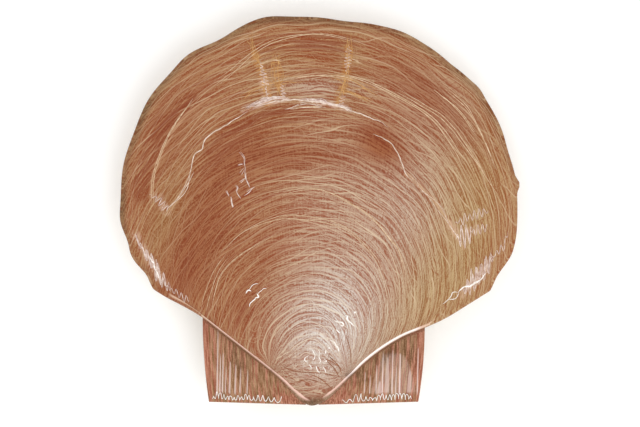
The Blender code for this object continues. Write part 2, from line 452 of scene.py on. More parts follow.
@dataclass(frozen=True)
class Patch:
    """A soft-edged field of colour: a Gaussian bump, turned, in plan."""

    x: float
    y: float
    length: float
    width: float
    turn: float
    strength: float

    def at(self, x: Array, y: Array) -> Array:
        """Strength of the patch at (x, y).

        Args:
            x: X in millimetres.
            y: Y in millimetres.

        Returns:
            The product of two bells, along the patch and across it.
        """
        turn = math.radians(self.turn)
        along = (x - self.x) * math.cos(turn) + (y - self.y) * math.sin(turn)
        across = (y - self.y) * math.cos(turn) - (x - self.x) * math.sin(turn)
        return self.strength * bell(along, self.length) * bell(across, self.width)


def patches_at(patches: Iterable[Patch], x: Array, y: Array) -> Array:
    """Sum of several patches, kept from 0 to 1."""
    return np.clip(sum(patch.at(x, y) for patch in patches), 0.0, 1.0)


# --- Meshes put together from grids --------------------------------------------------------
class Patchwork:
    """A mesh put together from grids of numbered points, with named values at each point."""

    def __init__(self, names: tuple[str, ...], mirrored: bool = False) -> None:
        """Start an empty mesh.

        Args:
            names: Names of the values that each point may carry; 0 where it isn't given.
            mirrored: Whether the grids are mirrored in z, so that faces are turned round.
        """
        self.names = names
        self.mirrored = mirrored
        self.points: list[Array] = []
        self.values: dict[str, list[Array]] = {name: [] for name in names}
        self.corners: list[Array] = []
        self.sizes: list[Array] = []
        self.dressings: list[Array] = []
        self.count = 0

    def add(self, points: Array, **values: Array) -> Array:
        """Store points and their values.

        Args:
            points: Array of points, with x, y and z along its last axis.
            **values: Named values, each in the layout of the points.

        Returns:
            The points' numbers, in the same layout.
        """
        shape = points.shape[:-1]
        size = int(np.prod(shape))
        self.points.append(points.reshape(-1, 3))
        for name in self.names:
            value = np.broadcast_to(values.get(name, 0.0), shape)
            self.values[name].append(np.asarray(value, float).reshape(-1))
        first = self.count
        self.count += size
        return np.arange(first, self.count).reshape(shape)

    def add_faces(self, faces: Array, dressing: int) -> None:
        """Store faces.

        Args:
            faces: The numbers of each face's points, one face a row.
            dressing: Number of the faces' material.
        """
        if self.mirrored:
            faces = faces[:, ::-1]
        self.corners.append(faces.reshape(-1))
        self.sizes.append(np.full(len(faces), faces.shape[1]))
        self.dressings.append(np.full(len(faces), dressing))

    def span(self, grid: Array, dressing: int = 0) -> None:
        """Cover a grid of point numbers with quads that face up where rows run outwards."""
        quads = [grid[:-1, :-1], grid[:-1, 1:], grid[1:, 1:], grid[1:, :-1]]
        self.add_faces(np.stack(quads, axis=-1).reshape(-1, 4), dressing)

    def fan(self, hub: int, rim: Array, dressing: int = 0) -> None:
        """Cover the space between one point and a row of points with triangles."""
        hubs = np.full(len(rim) - 1, hub)
        self.add_faces(np.stack([hubs, rim[:-1], rim[1:]], axis=-1), dressing)

    def cap(self, loop: Array, dressing: int = 0) -> None:
        """Close a loop of points with one face that faces down where the loop runs leftwards."""
        self.add_faces(loop[None, ::-1], dressing)

    def make(self, name: str, place: Array) -> bpy.types.Object:
        """Turn the grids into an object at the origin.

        Args:
            name: Name of the piece.
            place: Where the shell frame's origin is, in metres.

        Returns:
            The linked object, shaded smooth.
        """
        points = np.concatenate(self.points) * MM + place
        corners = np.concatenate(self.corners)
        sizes = np.concatenate(self.sizes)
        mesh = bpy.data.meshes.new(name)
        mesh.vertices.add(len(points))
        mesh.vertices.foreach_set("co", points.astype(np.float32).ravel())
        mesh.loops.add(len(corners))
        mesh.loops.foreach_set("vertex_index", corners.astype(np.int32))
        mesh.polygons.add(len(sizes))
        starts = np.concatenate([[0], np.cumsum(sizes)[:-1]])
        mesh.polygons.foreach_set("loop_start", starts.astype(np.int32))
        mesh.polygons.foreach_set("loop_total", sizes.astype(np.int32))
        dressings = np.concatenate(self.dressings)
        mesh.polygons.foreach_set("material_index", dressings.astype(np.int32))
        mesh.update(calc_edges=True)
        mesh.validate()
        for value_name, parts in self.values.items():
            layer = mesh.attributes.new(value_name, "FLOAT", "POINT")
            layer.data.foreach_set("value", np.concatenate(parts).astype(np.float32))
        mesh.shade_smooth()
        mesh.set_sharp_from_angle(angle=math.radians(50.0))
        piece = bpy.data.objects.new(name, mesh)
        bpy.context.scene.collection.objects.link(piece)
        return piece


def outward(loop: Array) -> Array:
    """Outward unit normals, in plan, of a closed loop.

    Args:
        loop: Points (x, y), one a row, running counter-clockwise.

    Returns:
        The normal at each point, across the line between its two neighbours.
    """
    along = np.roll(loop, -1, axis=0) - np.roll(loop, 1, axis=0)
    normal = np.stack([along[:, 1], -along[:, 0]], axis=-1)
    return normal / np.linalg.norm(normal, axis=1, keepdims=True)


DISC_VALUES = (
    "label_mm", "run_mm", "ray_mm", "flank_mm", "growth", "umbo", "rib", "rib_highlight",
    "painted_rim_shade", *(mark.name for mark in MARKS),
)
EAR_VALUES = ("riblet", "hinge_mm", "ear_w", "streak")


# --- Finishes ------------------------------------------------------------------------------
Tree = bpy.types.NodeTree
Socket = bpy.types.NodeSocket
Colour = tuple[float, float, float, float]

# Input and output numbers of the Mix node: when it mixes plain numbers, and when colours.
MIX_LOW, MIX_HIGH = 2, 3
MIX_FIRST, MIX_SECOND, MIX_RESULT = 6, 7, 2

# Settings that several nodes share. A range node's inputs are its value, the two ends of its
# range, and the results at those ends.
EASED = {"interpolation_type": "SMOOTHSTEP"}
FLAT_NOISE = {"noise_dimensions": "2D"}


def linear(colour: str) -> Colour:
    """Linear RGBA of an sRGB hex value such as "#a36f4c".

    Args:
        colour: Six hex digits after a hash.

    Returns:
        Each channel through the sRGB curve, and an alpha of 1.
    """
    shares = (int(colour[place:place + 2], 16) / 255.0 for place in (1, 3, 5))
    red, green, blue = (
        share / 12.92 if share <= 0.04045 else ((share + 0.055) / 1.055) ** 2.4
        for share in shares
    )
    return (red, green, blue, 1.0)


def add_node(
    tree: Tree,
    kind: str,
    inputs: tuple[object, ...] | dict[int | str, object] = (),
    output: int | str = 0,
    **settings: object,
) -> Socket:
    """Add a node with its settings and links.

    Args:
        tree: Node tree of the material.
        kind: Blender's name for the node's type, after "ShaderNode".
        inputs: Sockets to link or values to set, in order, or by an input's number or name.
        output: Which output is wanted.
        **settings: Properties of the node, by name.

    Returns:
        The wanted output socket.
    """
    node = tree.nodes.new(f"ShaderNode{kind}")
    for name, value in settings.items():
        setattr(node, name, value)
    for key, value in inputs.items() if isinstance(inputs, dict) else enumerate(inputs):
        if isinstance(value, Socket):
            tree.links.new(value, node.inputs[key])
        else:
            node.inputs[key].default_value = value
    return node.outputs[output]


def read_values(tree: Tree, names: Iterable[str]) -> dict[str, Socket]:
    """Read the mesh's named values.

    Args:
        tree: Node tree of the material.
        names: The values' names.

    Returns:
        The socket that gives each value, by name.
    """
    return {
        name: add_node(tree, "Attribute", output="Fac", attribute_name=name)
        for name in dict.fromkeys(names)
    }


def overlay(tree: Tree, colour: object, *coats: tuple[object, object]) -> Socket:
    """Lay coats over a colour.

    Args:
        tree: Node tree of the material.
        colour: The colour at the bottom.
        coats: Each coat's share, and the coat's own colour, from the bottom up.

    Returns:
        The colour on top.
    """
    for share, coat in coats:
        inputs = {0: share, MIX_FIRST: colour, MIX_SECOND: coat}
        colour = add_node(tree, "Mix", inputs, MIX_RESULT, data_type="RGBA")
    return colour


def add_grain(tree: Tree, size: float, reach: float) -> Socket:
    """Plain noise in the object's own space.

    Args:
        tree: Node tree of the material.
        size: Size of a grain, in millimetres.
        reach: How far the noise goes from its lowest to its highest.

    Returns:
        The noise, about 0.
    """
    place = add_node(tree, "TexCoord", output="Object")
    inputs = {"Vector": place, "Scale": 1.0 / (size * MM), "Detail": 1.0}
    noise = add_node(tree, "TexNoise", inputs)
    return add_node(tree, "Math", (noise, reach, -0.5 * reach), operation="MULTIPLY_ADD")


@dataclass(frozen=True)
class Finish:
    """A material, with the gloss of what it is made of."""

    name: str
    roughness: float
    ior: float
    gloss: float = 0.5
    bump_depth: float = 0.05 * MM

    def material(self) -> bpy.types.Material:
        """Make the material: gloss is set on the shader, and paint() gives the rest.

        Returns:
            The material, with the pattern's height as a fine bump.
        """
        material = bpy.data.materials.new(self.name)
        material.use_nodes = True
        tree = material.node_tree
        shader = tree.nodes["Principled BSDF"].inputs
        shader["Roughness"].default_value = self.roughness
        shader["IOR"].default_value = self.ior
        shader["Specular IOR Level"].default_value = self.gloss
        colour, height = self.paint(tree)
        if isinstance(colour, Socket):
            tree.links.new(colour, shader["Base Color"])
        else:
            shader["Base Color"].default_value = colour
        bump = add_node(tree, "Bump", {"Height": height, "Distance": self.bump_depth})
        tree.links.new(bump, shader["Normal"])
        return material

    def paint(self, tree: Tree) -> tuple[Socket | Colour, Socket]:
        """Add the pattern to a node tree, and give its colour and its height."""
        raise NotImplementedError


class Family(Enum):
    """Which lines of the shell a pattern follows."""

    GROWTH = "fine growth lines"
    MARGIN = "the margin scaled about the pole"
    RAY = "rays from the pole"


# For each family, the sockets that give millimetres across its lines and along them.
Lanes = dict[Family, tuple[Socket, Socket]]


@dataclass(frozen=True)
class Strokes:
    """One layer of fine lines drawn out in one direction, with sizes in millimetres."""

    width: float
    length: float
    seed: float
    lean: float = 0.0
    detail: float = 1.5
    weight: float = 1.0
    fill: float = 0.3
    family: Family = Family.GROWTH
    shift: tuple[float, float] = (17.0, 29.0)
    roughness: float = 0.6
    core: float = 0.55
    own_range: tuple[float, float] = (0.1, 0.7)

    def add_place(self, tree: Tree, lanes: Lanes) -> Socket:
        """Pattern coordinates: shifted by the seed, turned, and divided by width and length.

        Args:
            tree: Node tree of the material.
            lanes: Where each family's coordinates come from.

        Returns:
            The coordinates, with a step of 1 for each width across and length along.
        """
        place = add_node(tree, "CombineXYZ", lanes[self.family])
        shift = (self.shift[0] * self.seed, self.shift[1] * self.seed, 0.0)
        turn = (0.0, 0.0, math.radians(self.lean))
        inputs = (place, shift, turn, (self.width, self.length, 1.0))
        return add_node(tree, "Mapping", inputs, vector_type="TEXTURE")

    def add(self, tree: Tree, lanes: Lanes) -> Socket:
        """Noise, turned by the lean and drawn out by the length over the width.

        Args:
            tree: Node tree of the material.
            lanes: Where each family's coordinates come from.

        Returns:
            The noise, about 0.5.
        """
        inputs = {
            "Vector": self.add_place(tree, lanes), "Scale": 1.0, "Detail": self.detail,
            "Roughness": self.roughness,
        }
        return add_node(tree, "TexNoise", inputs, **FLAT_NOISE)

    def add_dashes(self, tree: Tree, lanes: Lanes) -> Socket:
        """Separate tapering strokes, each the middle of a drawn-out Voronoi cell.

        Args:
            tree: Node tree of the material.
            lanes: Where each family's coordinates come from.

        Returns:
            Strength from 0 off the strokes to each stroke's own strength on its middle.
        """
        inputs = {"Vector": self.add_place(tree, lanes), "Scale": 1.0}
        away = add_node(tree, "TexVoronoi", inputs, voronoi_dimensions="2D", feature="F1")
        inputs = (away, self.core * self.fill, self.fill, 1.0, 0.0)
        dash = add_node(tree, "MapRange", inputs, **EASED)
        own = add_node(tree, "SeparateColor", (away.node.outputs["Color"],))
        own = add_node(tree, "MapRange", (own, *self.own_range, 0.0, self.weight))
        return add_node(tree, "Math", (dash, own), operation="MULTIPLY")


@dataclass(frozen=True)
class Hairs(Strokes):
    """One layer of long crisp hairlines: their pitch is the width, their reach the length."""

    detail: float = 1.0
    fill: float = 0.12
    core: float = 0.4
    sway: float = 3.0
    sway_across: float = 0.15
    middles: tuple[float, float] = (0.2, 0.6)
    strengths: tuple[float, float] = (0.4, 0.6)
    shown_from: float = 0.43
    shown_to: float = 0.56
    row_pitch: float = 97.0

    def add_dashes(self, tree: Tree, lanes: Lanes) -> Socket:
        """Hairlines, one somewhere in each lane, that sway together and fade in and out.

        The phase is the place across in lanes, plus a slow noise. Its whole part is the lane's
        number, from which come the hair's strength and its place in the lane.

        Args:
            tree: Node tree of the material.
            lanes: Where each family's coordinates come from.

        Returns:
            Strength from 0 off the hairs to the layer's weight on them.
        """
        place = self.add_place(tree, lanes)
        sides = add_node(tree, "SeparateXYZ", (place,)).node.outputs
        inputs = (place, (self.sway_across, 1.0, 0.0))
        slow = add_node(tree, "VectorMath", inputs, operation="MULTIPLY")
        inputs = {"Vector": slow, "Scale": 1.0, "Detail": self.detail}
        sway = add_node(tree, "TexNoise", inputs, **FLAT_NOISE)
        phase = add_node(tree, "Math", (sway, self.sway, sides[0]), operation="MULTIPLY_ADD")
        number = add_node(tree, "Math", (phase,), operation="FLOOR")
        own = add_node(tree, "TexWhiteNoise", {"W": number}, "Color", noise_dimensions="1D")
        own = add_node(tree, "SeparateColor", (own,)).node.outputs

        # How far a point is from the middle of the hair in its lane.
        inputs = (own[1], self.middles[1], self.middles[0])
        middle = add_node(tree, "Math", inputs, operation="MULTIPLY_ADD")
        part = add_node(tree, "Math", (phase,), operation="FRACT")
        away = add_node(tree, "Math", (part, middle), operation="SUBTRACT")
        away = add_node(tree, "Math", (away,), operation="ABSOLUTE")
        inputs = (away, self.core * self.fill, self.fill, 1.0, 0.0)
        line = add_node(tree, "MapRange", inputs, **EASED)

        # Where along its lane the hair shows.
        row = add_node(tree, "Math", (own[2], self.row_pitch), operation="MULTIPLY")
        course = add_node(tree, "CombineXYZ", (row, sides[1]))
        inputs = {"Vector": course, "Scale": 1.0, "Detail": self.detail}
        shown = add_node(tree, "TexNoise", inputs, **FLAT_NOISE)
        inputs = (shown, self.shown_from, self.shown_to, 0.0, self.weight)
        shown = add_node(tree, "MapRange", inputs, **EASED)
        inputs = (own[0], self.strengths[1], self.strengths[0])
        strength = add_node(tree, "Math", inputs, operation="MULTIPLY_ADD")
        line = add_node(tree, "Math", (line, shown), operation="MULTIPLY")
        return add_node(tree, "Math", (line, strength), operation="MULTIPLY")


@dataclass(frozen=True)
class Tone:
    """Colours of a field's furrows, crests and blush, as sRGB."""

    dark: str
    light: str
    blush: str


@dataclass(frozen=True)
class MarkPaint:
    """How one mark shows: half its width in millimetres, colour, strength and strokes."""

    name: str
    width: float
    colour: str
    strength: float
    strokes: Strokes
    threshold: float = 0.5
    softness: float = 0.06
    core: float = 0.3


class Tint(Enum):
    """Which colour of its field a separate stroke has."""

    LIGHT = "light"
    DARK = "dark"
    BRIGHT = "bright"


@dataclass(frozen=True)
class PigmentedShell(Finish):
    """Calcite of the upper valve: pigmented, laid down in fine lines, and pale in places, from
    wear and from painted light.

    Matt, with a faint gloss on the crests, as on a shell fresh from the sea.
    """

    base: Tone = Tone("#863d13", "#a77e57", "#965d42")
    tones: tuple[tuple[str, Tone], ...] = ()
    layers: tuple[Strokes, ...] = ()
    outer_layers: tuple[Strokes, ...] = ()
    early_layers: tuple[Strokes, ...] = ()
    blushes: Strokes = Strokes(1.1, 22.0, 13.0)
    blush_range: tuple[float, float, float, float] = (0.48, 0.66, 0.0, 0.45)
    dashes: tuple[tuple[Tint, Strokes], ...] = ()
    bright: str = "#d8c2a2"
    wander: Strokes = Strokes(7.0, 24.0, 2.0)
    wander_reach: float = 2.6
    tangle: Strokes = Strokes(1.8, 4.0, 5.0)
    tangle_reach: float = 3.0
    hatch: Strokes = Strokes(0.72, 4.0, 3.0, detail=1.0, family=Family.RAY)
    hatch_weight: float = 1.6
    hatch_fade: tuple[float, float, float, float] = (0.70, 0.82, 1.0, 0.4)
    ground: float = 0.44
    grain: float = 0.42
    grain_weight: float = 1.7
    marks: tuple[MarkPaint, ...] = ()
    rib_colour: str = "#e6bfb0"
    # Colour of the painted highlight along the right rib.
    rib_highlight_colour: str = "#fff8f4"
    outer_rib_colour: str = "#d9b99f"
    # Painted shadow on the side under the rib: its colour, its lighter specks, and where it lies
    # across the flank.
    rib_shadow: str = "#6a4c30"
    rib_shadow_speck: str = "#cdb096"
    rib_shadow_range: tuple[float, float, float, float] = (-0.25, -0.05, 0.55, 0.0)
    ear_range: tuple[float, float, float, float] = (0.55, 0.66, 1.0, 0.0)

    def paint(self, tree: Tree) -> tuple[Socket, Socket]:
        """Colour and height of fields, lines, separate strokes, marks and ribs.

        Args:
            tree: Node tree of the material.

        Returns:
            The colour and the height.
        """
        names = (*DISC_VALUES, *(name for name, tone in self.tones), "outer")
        read = read_values(tree, names)
        lanes = self.lanes(tree, read)
        lines = self.woven(tree, self.layers, lanes)
        for share, layers in (("outer", self.outer_layers), ("umbo", self.early_layers)):
            other = self.woven(tree, layers, lanes)
            inputs = {0: read[share], MIX_LOW: lines, MIX_HIGH: other}
            lines = add_node(tree, "Mix", inputs, data_type="FLOAT")
        lines = self.add_hatch(tree, lanes, lines, read["growth"])

        # Each field of colour has its own furrows, crests and blush.
        def toned(part: str) -> Socket:
            """One part's colour, over all the fields."""
            coats = ((read[name], linear(getattr(tone, part))) for name, tone in self.tones)
            return overlay(tree, linear(getattr(self.base, part)), *coats)

        dark, light, blush = toned("dark"), toned("light"), toned("blush")
        inputs = (self.blushes.add(tree, lanes), *self.blush_range)
        blushed = add_node(tree, "MapRange", inputs, **EASED)
        colour = overlay(tree, dark, (lines, light), (blushed, blush))

        # Separate strokes lie over them, in directions that cross at small angles.
        # Bright strokes fade to the light colour in the deep field and in the painted shade at the
        # margin.
        bright = overlay(
            tree, light, (0.5, linear(self.bright)), (read["deep"], light),
            (read["painted_rim_shade"], light),
        )
        deeper = overlay(tree, dark, (0.5, linear(self.base.dark)))
        inks = {Tint.LIGHT: light, Tint.DARK: deeper, Tint.BRIGHT: bright}
        for tint, strokes in self.dashes:
            colour = overlay(tree, colour, (strokes.add_dashes(tree, lanes), inks[tint]))
        for mark in self.marks:
            colour = self.add_mark(tree, mark, read[mark.name], lanes, colour)
        return self.add_rib(tree, read, colour), lines

    def lanes(self, tree: Tree, read: dict[str, Socket]) -> Lanes:
        """Coordinates of each family of lines, with a slow wander and a tangle at the umbo.

        Args:
            tree: Node tree of the material.
            read: The mesh's values, by name.

        Returns:
            Millimetres across and along the lines, for each family.
        """
        plain = {Family.GROWTH: (read["label_mm"], read["run_mm"])}
        inputs = (self.wander.add(tree, plain), self.wander_reach)
        wander = add_node(tree, "Math", inputs, operation="MULTIPLY")
        knot = add_node(tree, "Math", (read["umbo"], self.tangle_reach), operation="MULTIPLY")
        inputs = (self.tangle.add(tree, plain), knot, wander)
        wander = add_node(tree, "Math", inputs, operation="MULTIPLY_ADD")
        label = add_node(tree, "Math", (wander, read["label_mm"]), operation="ADD")
        inputs = (read["growth"], PLAN.length, wander)
        grown = add_node(tree, "Math", inputs, operation="MULTIPLY_ADD")
        inputs = {0: read["umbo"], MIX_LOW: grown, MIX_HIGH: label}
        grown = add_node(tree, "Mix", inputs, data_type="FLOAT")
        run = add_node(tree, "Math", (read["growth"], read["ray_mm"]), operation="MULTIPLY")
        spread = add_node(tree, "Math", (read["growth"],), operation="SQRT")
        ray = add_node(tree, "Math", (read["ray_mm"], spread), operation="MULTIPLY")
        return {
            Family.GROWTH: (label, read["run_mm"]),
            Family.MARGIN: (grown, run),
            Family.RAY: (ray, read["label_mm"]),
        }

    def add_hatch(self, tree: Tree, lanes: Lanes, lines: Socket, growth: Socket) -> Socket:
        """Add radial striae, which crowd to the umbo and fade past the ring, and grain.

        Args:
            tree: Node tree of the material.
            lanes: Where each family's coordinates come from.
            lines: Height of the woven lines.
            growth: Growth line, which sets how far the striae have faded.

        Returns:
            The height with both added.
        """
        inputs = (self.hatch.add(tree, lanes), self.hatch_weight, -0.5 * self.hatch_weight)
        striae = add_node(tree, "Math", inputs, operation="MULTIPLY_ADD")
        inner = add_node(tree, "MapRange", (growth, *self.hatch_fade))
        striae = add_node(tree, "Math", (striae, inner), operation="MULTIPLY")
        grain = add_grain(tree, self.grain, self.grain_weight)
        rough = add_node(tree, "Math", (striae, grain), operation="ADD")
        return add_node(tree, "Math", (lines, rough), operation="ADD")

    def woven(self, tree: Tree, layers: tuple[Strokes, ...], lanes: Lanes) -> Socket:
        """Several layers of strokes over each other, from 0 in a furrow to 1 on a crest.

        Args:
            tree: Node tree of the material.
            layers: The layers, each with its weight.
            lanes: Where each family's coordinates come from.

        Returns:
            The ground plus the weighted sum of each layer's distance from 0.5, from 0 to 1.
        """
        total = self.ground - 0.5 * sum(layer.weight for layer in layers)
        for layer in layers:
            inputs = (layer.add(tree, lanes), layer.weight, total)
            total = add_node(tree, "Math", inputs, operation="MULTIPLY_ADD")
        return add_node(tree, "Clamp", (total,))

    def add_mark(
        self, tree: Tree, mark: MarkPaint, distance: Socket, lanes: Lanes, colour: Socket
    ) -> Socket:
        """Lay one mark over the colour: strongest on its courses, and made of its strokes.

        Args:
            tree: Node tree of the material.
            mark: How the mark shows.
            distance: Distance from its nearest course, in millimetres.
            lanes: Where each family's coordinates come from.
            colour: The colour so far.

        Returns:
            The colour with the mark on it.
        """
        inputs = (distance, mark.core * mark.width, mark.width, mark.strength, 0.0)
        line = add_node(tree, "MapRange", inputs, **EASED)
        low, high = mark.threshold - mark.softness, mark.threshold + mark.softness
        strokes = add_node(tree, "MapRange", (mark.strokes.add(tree, lanes), low, high), **EASED)
        line = add_node(tree, "Math", (line, strokes), operation="MULTIPLY")
        return overlay(tree, colour, (line, linear(mark.colour)))

    def add_rib(self, tree: Tree, read: dict[str, Socket], colour: Socket) -> Socket:
        """Lay the smooth rib along both flanks over the colour, dark on the side under it.

        Args:
            tree: Node tree of the material.
            read: The mesh's values, by name.
            colour: The colour so far.

        Returns:
            The colour with the rib on it.
        """
        # Painted shadow on the side under the rib, beside the ears, speckled with a lighter tone.
        inputs = (read["flank_mm"], *self.rib_shadow_range)
        under = add_node(tree, "MapRange", inputs, **EASED)
        beside_ear = add_node(tree, "MapRange", (read["growth"], *self.ear_range), **EASED)
        under = add_node(tree, "Math", (under, beside_ear), operation="MULTIPLY")
        specks = (add_grain(tree, self.grain, 2.0), linear(self.rib_shadow_speck))
        speckled = overlay(tree, linear(self.rib_shadow), specks)
        rib = (beside_ear, linear(self.rib_colour))
        rib = overlay(tree, linear(self.outer_rib_colour), rib)
        # Painted highlight along the right rib.
        core = (read["rib_highlight"], linear(self.rib_highlight_colour))
        return overlay(tree, colour, (under, speckled), (read["rib"], rib), core)


@dataclass(frozen=True)
class RibletedEar(Finish):
    """Ears of the upper valve: thin calcite in upright riblets, with streaks of every tone."""

    furrow: str = "#704820"
    crest: str = "#ac8766"
    warm_furrow: str = "#86422a"
    warm_crest: str = "#bc826a"
    # Colour of the painted shadow that the disc's flank casts on the ears.
    painted_shadow: str = "#5c3e22"
    pale: str = "#dac4bc"
    streaks: Strokes = Strokes(0.50, 9.0, 4.0, detail=2.0)
    streak_range: tuple[float, float] = (0.33, 0.67)
    hues: Strokes = Strokes(0.48, 20.0, 6.0, detail=2.0)
    hue_range: tuple[float, float, float, float] = (0.48, 0.62, 0.0, 0.9)
    warmth: float = 0.22
    riblet_share: float = 0.15
    depth: float = 25.0
    wiggle: float = 1.4
    wiggle_reach: float = 0.45
    grain: float = 0.42
    grain_weight: float = 0.9
    bump_depth: float = 0.06 * MM

    def paint(self, tree: Tree) -> tuple[Socket, Socket]:
        """Colour and height of streaks that run from the flank down to the hinge edge.

        Args:
            tree: Node tree of the material.

        Returns:
            The colour and the height.
        """
        read = read_values(tree, (*EAR_VALUES, "painted_shadow", "warm"))
        down = add_node(tree, "Math", (read["ear_w"], self.depth), operation="MULTIPLY")
        wiggle = add_grain(tree, self.wiggle, self.wiggle_reach)
        across = add_node(tree, "Math", (wiggle, read["hinge_mm"]), operation="ADD")
        lanes = {Family.GROWTH: (across, down)}
        fine = add_node(tree, "MapRange", (self.streaks.add(tree, lanes), *self.streak_range))
        grain = add_grain(tree, self.grain, self.grain_weight)
        fine = add_node(tree, "Math", (fine, grain), operation="ADD")
        inputs = {0: self.riblet_share, MIX_LOW: fine, MIX_HIGH: read["riblet"]}
        lines = add_node(tree, "Mix", inputs, data_type="FLOAT")
        inputs = (read["warm"], self.warmth, self.hues.add(tree, lanes))
        hue = add_node(tree, "Math", inputs, operation="MULTIPLY_ADD")
        hue = add_node(tree, "MapRange", (hue, *self.hue_range), **EASED)
        warmed = overlay(tree, linear(self.warm_furrow), (lines, linear(self.warm_crest)))
        colour = overlay(tree, linear(self.furrow), (lines, linear(self.crest)), (hue, warmed))
        # Painted shadow: the ear darkens towards the shadow colour where the flank stands over it.
        shadowed = overlay(tree, linear(self.painted_shadow), (lines, colour))
        pale = (read["streak"], linear(self.pale))
        return overlay(tree, colour, (read["painted_shadow"], shadowed), pale), lines


@dataclass(frozen=True)
class CreamShell(Finish):
    """Calcite of the lower valve: cream, hardly pigmented, smoother than the upper one."""

    dark: str = "#cdb59a"
    light: str = "#efe6d6"
    blush: str = "#c99a86"
    lines: Strokes = Strokes(0.8, 30.0, 8.0)
    line_range: tuple[float, float] = (0.3, 0.7)
    rays: Strokes = Strokes(1.6, 60.0, 12.0, family=Family.RAY)
    ray_range: tuple[float, float] = (0.4, 0.75)
    margin_range: tuple[float, float, float, float] = (0.8, 1.0, 0.0, 0.75)

    def paint(self, tree: Tree) -> tuple[Socket, Socket]:
        """Colour and height of fine lines, with pinkish rays towards the margin.

        Args:
            tree: Node tree of the material.

        Returns:
            The colour and the height.
        """
        read = read_values(tree, ("label_mm", "run_mm", "ray_mm", "hinge_mm", "growth"))
        across = add_node(tree, "Math", (read["label_mm"], read["hinge_mm"]), operation="ADD")
        lanes = {
            Family.GROWTH: (across, read["run_mm"]),
            Family.RAY: (read["ray_mm"], read["label_mm"]),
        }
        fine = add_node(tree, "MapRange", (self.lines.add(tree, lanes), *self.line_range))
        rays = add_node(tree, "MapRange", (self.rays.add(tree, lanes), *self.ray_range))
        margin = add_node(tree, "MapRange", (read["growth"], *self.margin_range), **EASED)
        blush = add_node(tree, "Math", (margin, rays), operation="MULTIPLY")
        coats = (fine, linear(self.light)), (blush, linear(self.blush))
        return overlay(tree, linear(self.dark), *coats), fine


@dataclass(frozen=True)
class SpeckledSolid(Finish):
    """A plain stuff with an uneven tone: chalk, nacre, or the horny ligament."""

    dark: str = "#d8cbbd"
    light: str = "#fdfaf6"
    grain: float = 1.2
    bump_depth: float = 0.03 * MM
    speck_range: tuple[float, float] = (0.3, 0.65)

    def paint(self, tree: Tree) -> tuple[Socket, Socket]:
        """Colour and height of soft specks, in the object's own space.

        Args:
            tree: Node tree of the material.

        Returns:
            The colour and the height.
        """
        place = add_node(tree, "TexCoord", output="Object")
        inputs = {"Vector": place, "Scale": 1.0 / (self.grain * MM), "Detail": 3.0}
        noise = add_node(tree, "TexNoise", inputs)
        share = add_node(tree, "MapRange", (noise, *self.speck_range))
        return overlay(tree, linear(self.dark), (share, linear(self.light))), noise


@dataclass(frozen=True)
class PaleFloor(Finish):
    """Matt painted board: a plain near-white that takes a soft shadow."""

    colour: str = "#fbfbfa"
    tooth: float = 900.0
    bump_depth: float = 0.01 * MM

    def paint(self, tree: Tree) -> tuple[Colour, Socket]:
        """One colour, and the height of the board's fine tooth.

        Args:
            tree: Node tree of the material.

        Returns:
            The colour and the height.
        """
        place = add_node(tree, "TexCoord", output="Object")
        noise = add_node(tree, "TexNoise", {"Vector": place, "Scale": self.tooth})
        return linear(self.colour), noise


# --- Sub-assemblies ------------------------------------------------------------------------
@dataclass(frozen=True)
class Dome:
    """Height of a valve's disc over the plane where the valves meet, in millimetres."""

    crest: float
    swell: float
    fall: float
    flat_cut: float = 0.0
    edge: float = 1.2
    umbo_lift: float = 2.2
    umbo_reach: float = 0.15
    arch_power: float = 1.15

    def height(self, t: Array, y: Array) -> Array:
        """Smooth height, before any relief.

        Along the middle it rises as t**swell and falls as (1 - t)**fall. A shell grows by
        turning about its hinge, so the height also follows the distance y from the hinge. The
        very top may be cut flat, so that the shell can lie on it.

        Args:
            t: Growth line.
            y: The margin's distance from the hinge at the same angle.

        Returns:
            Height in millimetres.
        """
        top = self.swell / (self.swell + self.fall)
        peak = top ** self.swell * (1.0 - top) ** self.fall
        along = t ** self.swell * (1.0 - t) ** self.fall / peak
        arch = np.clip(y / PLAN.length, 0.0, 1.0) ** self.arch_power
        edge = self.edge + self.umbo_lift * bell(t, self.umbo_reach)
        return edge + self.crest * along * arch


@dataclass(frozen=True)
class FlankRib:
    """The smooth pale rib along both flanks: its colour, in millimetres in from the edge."""

    width: float = 0.66
    widest: float = 1.15
    widest_reach: float = 0.30
    right_share: float = 0.58
    start: float = 0.07
    right_start: float = 0.12
    shoulder: float = 0.64
    end: float = 0.86
    inset: float = 0.9
    inset_fade: float = 0.04
    thinner_past: float = 0.5
    softness: float = 0.25
    shorter_right: float = 0.25
    fade: float = 0.05
    # The painted highlight along the right rib: where it shows along the growth lines, its width,
    # inset, fade and gain.
    core: tuple[float, float] = (0.22, 0.55)
    highlight_width: float = 0.30
    highlight_inset: float = 0.2
    highlight_fade: float = 0.06
    highlight_gain: float = 1.15

    def strength(self, t: Array, angle: Array, flank: Array) -> tuple[Array, Array]:
        """How strongly the rib and the painted highlight along it show.

        The rib lies on the edge beside an ear, widest towards the umbo. Past the ear it is a
        thinner line, a little way in, and fades out. The painted highlight is on the right only.

        Args:
            t: Growth line.
            angle: Angle about the disc's centre.
            flank: Distance in from the flank's edge.

        Returns:
            The rib's strength and the painted highlight's, from 0 to 1.
        """
        width = self.width + (self.widest - self.width) * bell(t, self.widest_reach)
        past = smooth_step((t - self.shoulder) / self.inset_fade)
        place = self.inset * past
        width = width * (1.0 - self.thinner_past * past)
        right = np.where(angle > 0, 1.0, 0.0)
        width = width * (1.0 - (1.0 - self.right_share) * right)
        across = smooth_step((width - np.abs(flank - place)) / self.softness + 0.5)
        end = self.end * (1.0 - self.shorter_right * right)
        start = self.start + (self.right_start - self.start) * right
        rib = across * window(t, start, end, self.fade)
        # Painted highlight along the right rib, the side that faces the key light.
        core = bell(flank - place - self.highlight_inset, self.highlight_width) * right
        core = core * window(t, *self.core, self.highlight_fade)
        return rib, np.clip(self.highlight_gain * core, 0.0, 1.0)


